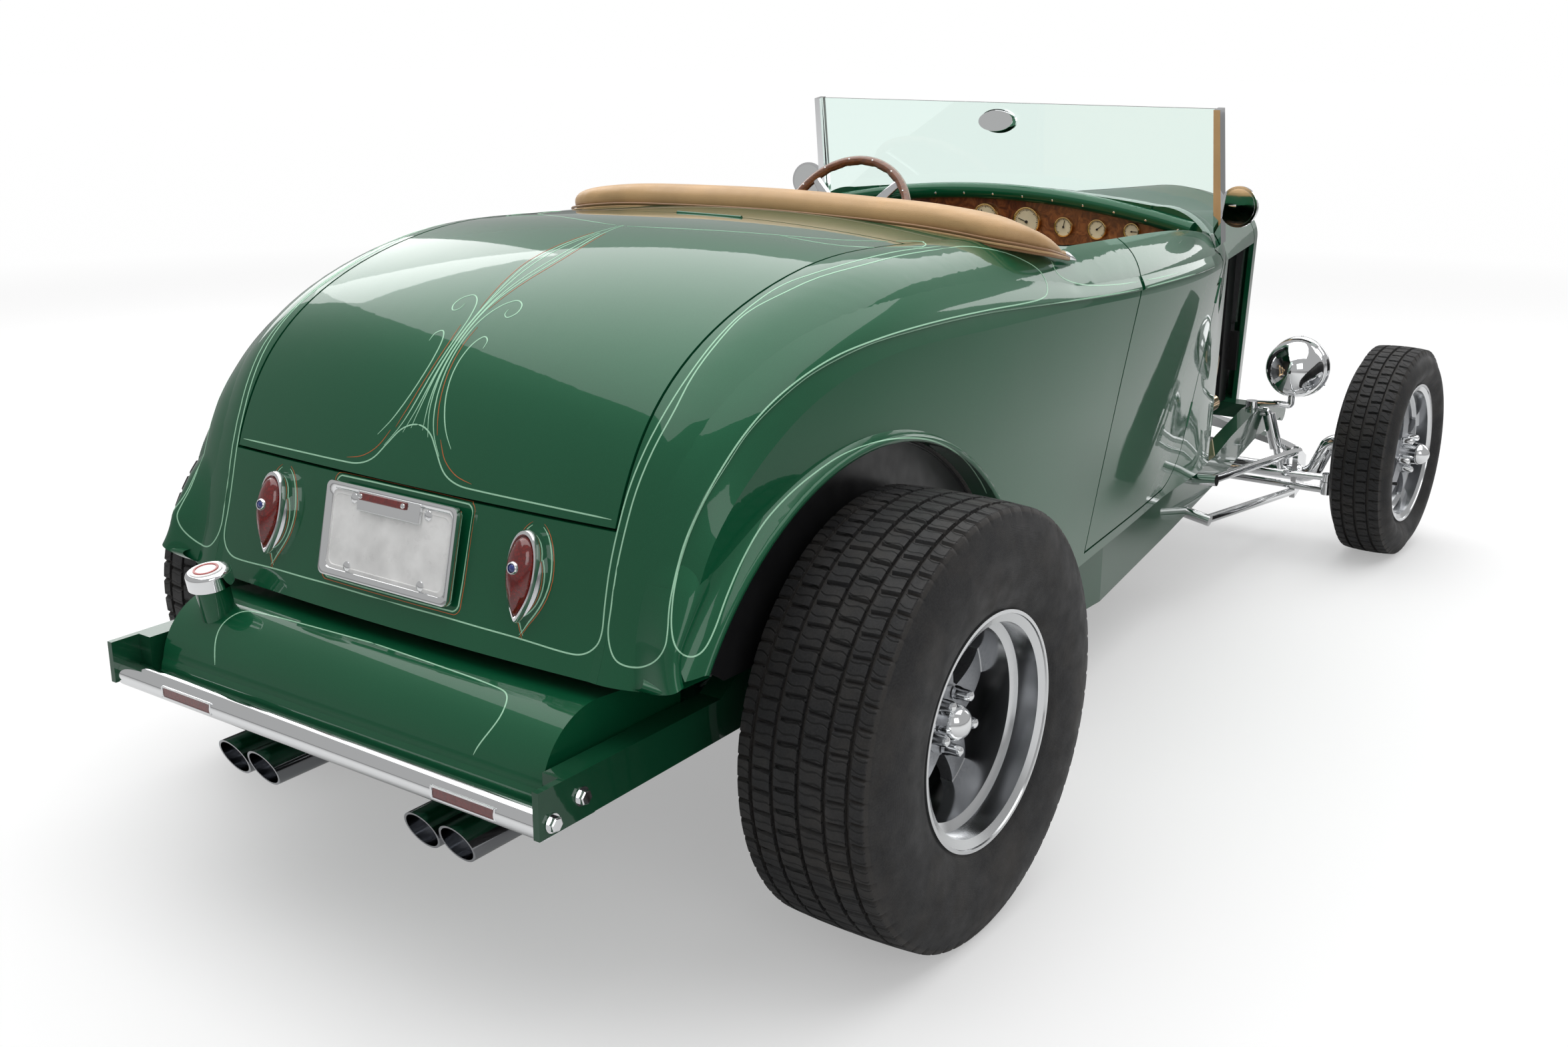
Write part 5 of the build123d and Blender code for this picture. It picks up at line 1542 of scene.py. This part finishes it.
    def bumper(self) -> None:
        """Finish of the rear bar and its two inset lenses."""
        dress(CHROME, "rear_bumper")
        dress(RED_LENS, "bumper_lenses")
        frames = Shape()
        for x in (-0.310, 0.360):
            for dz in (-0.0095, 0.0095):
                frames.block((x, -1.8565, 0.386 + dz), (0.136, 0.004, 0.003))
            for dx in (-0.067, 0.067):
                frames.block((x + dx, -1.8565, 0.386), (0.003, 0.004, 0.022))
        frames.piece("bumper_lens_frames", CHROME, bevel=0.0008)
        bolts = Shape()
        for side in (-1, 1):
            for y, z in ((-1.772, 0.410), (-1.835, 0.392)):
                bolts.hexagon((side * 0.5212, y, z), (side, 0, 0), 0.021, 0.011)
        bolts.piece("bumper_bolts", CHROME)

    def cap(self) -> None:
        """White enamelled top of the fuel cap with a red ring."""
        low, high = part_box("fuel_cap")
        above = Vector(((low[0] + high[0]) / 2, (low[1] + high[1]) / 2 - 0.006, high[2] + 0.1))
        top = Skin("fuel_cap").hit(above, (0, 0, -1))
        Shape().lathe([(-0.001, 0.029), (0.0016, 0.0285), (0.0022, 0.0005)], top.place,
                      top.normal, 48).piece("fuel_cap_face", WHITE)
        Shape().lathe([(0.0018, 0.0225), (0.0032, 0.0220), (0.0032, 0.0185), (0.0018, 0.0180)],
                      top.place, top.normal, 48).piece("fuel_cap_ring", RED_PAINT)

    def build(self) -> None:
        """Builds the tail's dressing."""
        dress(CHROME, "tail_lamps", "number_plate", "fuel_cap")
        dress(DARK_CHROME, "exhaust")
        for side in Side:
            self.lamp(side)
        self.plate()
        self.bumper()
        self.cap()


# ---- Cockpit


@dataclass
class Pad:
    """Makes padded leather: a closed form that is blown up by a cloth run."""

    pressure: float = 4.0
    voxel: float = 0.0095
    frames: int = 20
    cap: float = 0.012

    def inflate(self, shape: Shape, name: str) -> bmesh.types.BMesh:
        """Remeshes a closed form, swells it with cloth pressure and caps the swelling.

        Args:
            shape: the closed form, slightly smaller than the pad.
            name: name of the working object.
        Returns:
            the swollen mesh.
        """
        bmesh.ops.recalc_face_normals(shape.bm, faces=shape.bm.faces)
        form = linked(name + "_form", shape.bm)
        remesh = form.modifiers.new("remesh", "REMESH")
        remesh.mode, remesh.voxel_size = "VOXEL", self.voxel
        view = bpy.context.evaluated_depsgraph_get()
        even = bpy.data.meshes.new_from_object(form.evaluated_get(view))
        form.modifiers.clear()
        form.data = even
        start = [v.co.copy() for v in even.vertices]
        cloth = form.modifiers.new("cloth", "CLOTH")
        cloth.settings.use_pressure = True
        cloth.settings.uniform_pressure_force = self.pressure
        cloth.settings.effector_weights.gravity = 0
        cloth.settings.tension_stiffness = cloth.settings.compression_stiffness = 20
        for number in range(1, self.frames + 1):
            bpy.context.scene.frame_set(number)
        view = bpy.context.evaluated_depsgraph_get()
        blown = bpy.data.meshes.new_from_object(form.evaluated_get(view))
        moved = [v.co.copy() for v in blown.vertices]
        bpy.context.scene.frame_set(1)
        bm = bmesh.new()
        bm.from_mesh(even)
        bm.verts.ensure_lookup_table()
        for vert, a, b in zip(bm.verts, start, moved):
            step = b - a
            if step.length > self.cap:
                step *= self.cap / step.length
            vert.co = a + step
        bmesh.ops.smooth_vert(bm, verts=bm.verts, factor=0.5, use_axis_x=True, use_axis_y=True,
                              use_axis_z=True)
        bpy.data.objects.remove(form)
        return bm


@dataclass
class Bench:
    """Bench seat with sewn channels and piping."""

    half: float = 0.436
    front: float = 0.046
    back: float = -0.434
    low: float = 0.507
    high: float = 0.603
    channels: int = 9
    swell: float = 0.008

    def cushion(self) -> None:
        """Seat cushion, crowned, with lengthwise channels in each seat."""
        rows = []
        for t in range(13):
            y = self.back + (self.front - self.back) * t / 12
            pull = 0.006 * math.sin(math.pi * t / 12)
            line = []
            for a in angles(48):
                x = boxy(math.cos(a), 0.18) * (self.half - 0.008 + pull * 0.4)
                mid, tall = (self.low + self.high) / 2, (self.high - self.low) / 2 - 0.005
                line.append(Vector((x, y, mid + boxy(math.sin(a), 0.35) * tall)))
            rows.append(line)
        shape = Shape().grid(rows, around=True, ends=True)
        bm = Pad(cap=self.swell).inflate(shape, "bench_cushion")
        self.sew(bm, along=1)
        self.finish(bm, "bench_cushion", "seat_cushion")

    def rest(self) -> None:
        """Backrest with upright channels."""
        rows = []
        for t in range(15):
            s = t / 14
            z = 0.617 + 0.414 * s
            back = -0.566 - 0.079 * s
            front = -0.446 - 0.117 * s - 0.010 * math.sin(math.pi * s)
            if s > 0.9:
                front -= 0.02 * ((s - 0.9) / 0.1) ** 2
            line = []
            for a in angles(48):
                x = boxy(math.cos(a), 0.18) * (self.half - 0.008)
                mid, deep = (front + back) / 2, (front - back) / 2 - 0.005
                line.append(Vector((x, mid + boxy(math.sin(a), 0.35) * deep, z)))
            rows.append(line)
        shape = Shape().grid(rows, around=True, ends=True)
        bm = Pad(cap=self.swell).inflate(shape, "bench_rest")
        self.sew(bm, along=2)
        self.finish(bm, "bench_rest", "seat_back")

    def sew(self, bm: bmesh.types.BMesh, along: int) -> None:
        """Draws channels into the seat: grooves between raised pleats, in each seat's panel."""
        bmesh.ops.subdivide_edges(bm, edges=bm.edges, cuts=1, use_grid_fill=True, smooth=0.4)
        bm.normal_update()
        for vert in bm.verts:
            x = vert.co.x
            seat = (abs(x) - self.half * 0.5) / (self.half * 0.40)
            facing_up = vert.normal.z if along == 1 else vert.normal.y
            if abs(seat) < 1.0 and facing_up > 0.35:
                phase = (seat + 1) / 2 * self.channels
                groove = abs(math.sin(math.pi * phase))
                vert.co += vert.normal * (0.0055 * (groove ** 0.45 - 1.0)) * min(1, facing_up * 1.4)
            elif abs(abs(seat) - 1.04) < 0.05 and facing_up > 0.2:
                vert.co -= vert.normal * 0.006 * (1 - abs(abs(seat) - 1.04) / 0.05)

    def finish(self, bm: bmesh.types.BMesh, name: str, node: str) -> None:
        """Hands over a padded piece in leather."""
        made = Shape(bm).piece(name, TAN, crease=180)
        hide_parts(node)

    def piping(self) -> None:
        """Piped edges of the cushion and the backrest."""
        h = self.half - 0.010
        top = flow([(-h, self.back + 0.01, 0.600), (-h, self.front - 0.03, 0.600),
                    (-h + 0.03, self.front - 0.004, 0.598), (h - 0.03, self.front - 0.004, 0.598),
                    (h, self.front - 0.03, 0.600), (h, self.back + 0.01, 0.600)], 10)
        Shape().tube(top, 0.0042).piece("cushion_piping", PIPING)
        back = flow([(-h, -0.462, 0.640), (-h, -0.572, 0.995), (-h + 0.04, -0.590, 1.026),
                     (h - 0.04, -0.590, 1.026), (h, -0.572, 0.995), (h, -0.462, 0.640)], 10)
        Shape().tube(back, 0.0042).piece("rest_piping", PIPING)

    def build(self) -> None:
        """Builds the seat."""
        self.cushion()
        self.rest()
        self.piping()


@dataclass
class Coaming:
    """Leather pad round the back of the cockpit, drawn out to a plated tip at each door."""

    half: tuple[Point, ...] = (
        (0.0, -0.570, 1.147), (0.300, -0.568, 1.141), (0.430, -0.566, 1.133),
        (0.518, -0.553, 1.120), (0.562, -0.520, 1.103), (0.582, -0.470, 1.084),
        (0.590, -0.415, 1.066),
    )
    wide: float = 0.049
    tall: float = 0.027
    taper: float = 0.20

    def line(self, steps: int = 9) -> list[Vector]:
        """The pad's middle line from the left tip to the right one."""
        left = [(-x, y, z) for x, y, z in reversed(self.half[1:])]
        return flow(left + list(self.half), steps)

    def sizes(self, line: list[Vector]) -> list[tuple[float, float]]:
        """Half width and half height at each place of the line, thin at the tips."""
        walked = [0.0]
        for a, b in zip(line, line[1:]):
            walked.append(walked[-1] + (b - a).length)
        made = []
        for far in walked:
            share = min(1.0, min(far, walked[-1] - far) / self.taper)
            share = math.sin(share * math.pi / 2)
            made.append((self.wide * (0.16 + 0.84 * share), self.tall * (0.26 + 0.74 * share)))
        return made

    def sections(self, shrink: float) -> list[list[Vector]]:
        """Slab sections with a rounded top and a flat foot."""
        line = self.line()
        rows = []
        for i, (p, (wide, tall)) in enumerate(zip(line, self.sizes(line))):
            run = heading(line, i)
            side = run.cross(Vector((0, 0, 1))).normalized()
            up = side.cross(run).normalized()
            row = []
            for a in angles(36):
                x = boxy(math.cos(a), 0.62) * (wide - shrink)
                z = boxy(math.sin(a), 0.85 if math.sin(a) > 0 else 0.45) * (tall - shrink)
                row.append(p + side * x + up * z)
            rows.append(row)
        return rows

    def beading(self, name: str, finish: Finish, out: float, down: float, radius: float) -> None:
        """One bead sewn along the pad's outer foot."""
        line = self.line()
        made = []
        for i, (p, (wide, tall)) in enumerate(zip(line, self.sizes(line))):
            run = heading(line, i)
            side = run.cross(Vector((0, 0, 1))).normalized()
            made.append(p + side * wide * out - Vector((0, 0, tall * down)))
        Shape().tube(made, radius).piece(name, finish)

    def build(self) -> None:
        """Pads the slab, beads its foot and tips its ends."""
        shape = Shape().grid(self.sections(0.004), around=True, ends=True)
        bm = Pad(cap=0.005, voxel=0.0075).inflate(shape, "coaming")
        made = Shape(bm).piece("coaming_pad", TAN, crease=180)
        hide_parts("cockpit_pad")
        self.beading("coaming_bead_dark", PIPING, 0.99, 0.42, 0.0028)
        self.beading("coaming_bead_light", TAN, 0.985, 0.66, 0.0030)
        self.beading("coaming_bead_foot", PIPING, 0.95, 0.88, 0.0030)
        line = self.line()
        tips = Shape()
        for end, inner in ((line[0], line[2]), (line[-1], line[-3])):
            run = (end - inner).normalized()
            start = end - run * 0.012
            tips.lathe([(0, 0.0085), (0.012, 0.0095), (0.030, 0.0070), (0.048, 0.0030),
                        (0.054, 0.0008)], start, run, 20)
        tips.piece("coaming_tips", CHROME)


@dataclass
class Dash:
    """Dials, roll screws and the wood-rimmed wheel."""

    face_y: float = 0.380
    dials: tuple[tuple[float, float, float], ...] = (
        (0.090, 1.034, 0.038), (-0.028, 1.036, 0.038), (0.193, 1.028, 0.025), (0.284, 1.028, 0.025),
        (0.375, 1.029, 0.021),
    )

    def dial(self, index: int, x: float, z: float, radius: float) -> None:
        """Cream dial in a stepped brass bezel, with ticks and a needle."""
        at = (x, self.face_y + 0.004, z)
        back = (0, -1, 0)
        Shape().lathe([(0, radius), (0.005, radius), (0.0085, radius * 0.97),
                       (0.009, radius * 0.90), (0.0065, radius * 0.86), (0.004, radius * 0.855)],
                      at, back, 44).piece(f"dial_bezel_{index}", BRASS)
        Shape().lathe([(0.003, radius * 0.88), (0.0046, radius * 0.87), (0.0048, 0.0004)], at,
                      back, 40).piece(f"dial_face_{index}", CREAM)
        marks = Shape()
        for k in range(31):
            a = math.radians(-135 + 270 * k / 30)
            long = 0.13 if k % 5 == 0 else 0.07
            r = radius * (0.82 - long / 2)
            place = Vector((x + r * math.sin(a), self.face_y - 0.0012, z + r * math.cos(a)))
            turn = Matrix.Rotation(a, 3, "Y")
            marks.block(place, (0.0009 if k % 5 else 0.0014, 0.0006, radius * long), turn)
        a = math.radians(-70 + 40 * index)
        turn = Matrix.Rotation(a, 3, "Y")
        centre = Vector((x, self.face_y - 0.0022, z))
        marks.block(centre + turn @ Vector((0, 0, radius * 0.27)),
                    (0.0016, 0.0008, radius * 0.75), turn)
        marks.lathe([(0, radius * 0.11), (0.002, radius * 0.09)], centre, back, 18)
        marks.piece(f"dial_marks_{index}", INK)

    def wheel(self) -> None:
        """Wood rim with finger grips, polished spokes and the hub."""
        centre = Vector((-0.350, 0.205, 1.010))
        axis = Vector((0, -0.8660, 0.5))
        turn = facing(axis, (0, 0, 1))
        radius, section = 0.185, 0.0125
        rows = []
        for i, a in enumerate(angles(144)):
            out = turn @ Vector((math.cos(a), math.sin(a), 0))
            row = []
            for b in angles(14):
                grip = 0.0016 * max(0.0, -math.cos(b)) * (1 if (i // 2) % 3 == 0 else 0)
                row.append(centre + out * (radius + (section - grip) * math.cos(b))
                           + axis * (section - grip) * 0.92 * math.sin(b))
            rows.append(row)
        Shape().grid(rows, around=True, along=True).piece("wheel_rim_wood", RIM_WOOD,
                                                          "steering_wheel")
        spokes = Shape()
        for k in range(4):
            a = math.radians(45 + 90 * k)
            out = turn @ Vector((math.cos(a), math.sin(a), 0))
            across = axis.cross(out)
            rows = []
            for t in range(9):
                s = t / 8
                p = centre + out * (0.030 + (radius - 0.034) * s) - axis * 0.026 * (1 - s) ** 1.5
                w = 0.017 - 0.006 * s
                rows.append([p + across * w * c + axis * 0.0028 * d for c, d in
                             ((-1, -1), (-1, 1), (-0.6, 1.4), (0.6, 1.4), (1, 1), (1, -1))])
            spokes.grid(rows, around=True, ends=True)
        made = spokes.piece("wheel_spokes", CHROME, "steering_wheel", bevel=0.0012)
        hub = Shape().lathe([(-0.050, 0.026), (-0.030, 0.044), (-0.018, 0.046), (-0.010, 0.044),
                             (-0.006, 0.036), (0.004, 0.034), (0.008, 0.028), (0.010, 0.010)],
                            centre, axis, 48)
        boss = hub.piece("wheel_hub", CHROME, "steering_wheel")
        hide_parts("steering_wheel")
        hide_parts("steering_wheel")
        cap = Shape().lathe([(0.0085, 0.026), (0.012, 0.024), (0.0145, 0.016), (0.015, 0.0005)],
                            centre, axis, 40)
        cap.piece("wheel_button", FRAME_GREEN, "steering_wheel")
        rivets = Shape()
        for k in range(16):
            a = math.tau * (k + 0.5) / 16
            out = turn @ Vector((math.cos(a), math.sin(a), 0))
            rivets.lathe([(0, 0.0026), (0.0012, 0.002), (0.0016, 0.0004)],
                         centre + out * radius + axis * section * 0.90, axis, 10)
        rivets.piece("wheel_rivets", CHROME, "steering_wheel")

    def screws(self) -> None:
        """Small round-headed screws along the roll over the dash."""
        screws = Shape()
        for k in range(13):
            t = -1 + 2 * k / 12
            x = 0.500 * t
            z = 1.105 - 0.063 * (x / 0.528) ** 2
            at = Vector((x, 0.380 - 0.0185, z - 0.006))
            screws.lathe([(0, 0.0034), (0.0012, 0.003), (0.0018, 0.0005)], at, (0, -0.95, -0.3), 12)
        screws.piece("roll_screws", CHROME)

    def build(self) -> None:
        """Builds the dash."""
        dress(BURL, "dash_panel")
        dress(BRASS, "gauges")
        for index, (x, z, radius) in enumerate(self.dials):
            self.dial(index, x, z, radius)
        self.screws()
        self.wheel()


# ---- Nose, screen and running gear


@dataclass
class Headlamp:
    """Bezel, lens and screws of one headlamp, on its plated shell."""

    side: Side
    place: Point = (0.452, 1.450, 0.535)
    radius: float = 0.088

    def build(self) -> None:
        """Builds the lamp's front."""
        dress(CHROME, f"headlamp_{self.side.word}")
        at = (self.side.value * self.place[0], self.place[1], self.place[2])
        r = self.radius
        Shape().lathe([(0.030, r * 1.0), (0.034, r * 1.035), (0.042, r * 1.04), (0.049, r * 1.0),
                       (0.050, r * 0.95), (0.047, r * 0.93)], at, (0, 1, 0), 64
                      ).piece(f"lamp_bezel_{self.side.word}", CHROME)
        Shape().lathe([(0.0465, r * 0.945), (0.050, r * 0.92), (0.056, r * 0.70), (0.060, r * 0.40),
                       (0.0615, 0.0005)], at, (0, 1, 0), 64
                      ).piece(f"lamp_glass_{self.side.word}", LAMP_GLASS)
        holder = Shape()
        for k in range(3):
            a = math.radians(90 + 120 * k)
            place = Vector(at) + Vector((r * 1.03 * math.cos(a), 0.040, r * 1.03 * math.sin(a)))
            holder.lathe([(0, 0.0035), (0.003, 0.0035), (0.004, 0.002)], place,
                         (math.cos(a), 0, math.sin(a)), 12)
        holder.piece(f"lamp_screws_{self.side.word}", CHROME)


@dataclass
class Screen:
    """Windshield glass, posts and mirrors."""

    def build(self) -> None:
        """Dresses the screen and mirrors."""
        dress(SCREEN, "windshield_glass")
        dress(CHROME, "windshield_posts", "side_mirror_left", "side_mirror_right", "inner_mirror")
        face = Vector((0.06, -0.93, 0.34)).normalized()
        turn = facing(face)
        oval = [(0.0465 * math.cos(a), 0.0265 * math.sin(a)) for a in angles(48)]
        low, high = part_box("inner_mirror")
        middle = Vector([(a + b) / 2 for a, b in zip(low, high)])
        at = Vector((middle.x, low[1] - 0.0085, middle.z))
        Shape().plate(oval, at, turn, 0.002).piece("inner_mirror_glass", SILVER)
        for side in Side:
            s = side.value
            back = Vector((-0.12 * s, -1, 0.05)).normalized()
            at = Vector((s * 0.618, 0.442, 1.098)) + back * 0.0122
            Shape().lathe([(0, 0.042), (0.0006, 0.042), (0.0008, 0.0005)], at, back, 48
                          ).piece(f"mirror_glass_{side.word}", SILVER)


@dataclass
class RunningGear:
    """Bright and painted finishes of axles, brakes and engine."""

    def build(self) -> None:
        """Dresses the nodes under the body."""
        dress(CHROME, "front_axle", "front_spring", "four_bars", "front_shocks", "knuckle_left",
              "knuckle_right", "tie_rod", "drag_link", "pitman_arm", "rear_dampers")
        dress(STEEL, "steering_column")
        dress(CAST, "engine_block", "driveline", "steering_box")
        dress(BLACK, "radiator", "rear_axle")
        dress(GOLD_TINT, "headers")
        dress(CHROME, "grille")
        dress(CARPET, "floor_pan", "trunk_floor")


def main() -> None:
    """Builds the studio and then every sub-assembly in turn."""
    logging.basicConfig(level=logging.INFO, format="%(name)s: %(message)s")
    PhotoCamera().build()
    Studio().build()
    tail = Tail()
    creases = Bodywork(PhotoCamera()).build()
    Pinstripes(PhotoCamera()).build(tail, creases)
    tail.build()
    for side in Side:
        s = side.value
        rear, front = (s * 0.735, -1.151, 0.380), (s * 0.722, 1.541, 0.308)
        Tyre(side, "rear", rear, 0.1375, 0.120, 0.1155, 0.193, 0.290).build()
        Tyre(side, "front", front, 0.0875, 0.069, 0.0615, 0.193, 0.250,
             pitches=58, rib_edges=(-0.52, 0.0, 0.52)).build()
        Wheel(side, "rear", rear, 0.040, 0.060).build()
        Wheel(side, "front", front, 0.046, 0.050).build()
        Headlamp(side).build()
    Screen().build()
    RunningGear().build()
    Bench().build()
    Coaming().build()
    Dash().build()


if __name__ == "__main__":
    main()
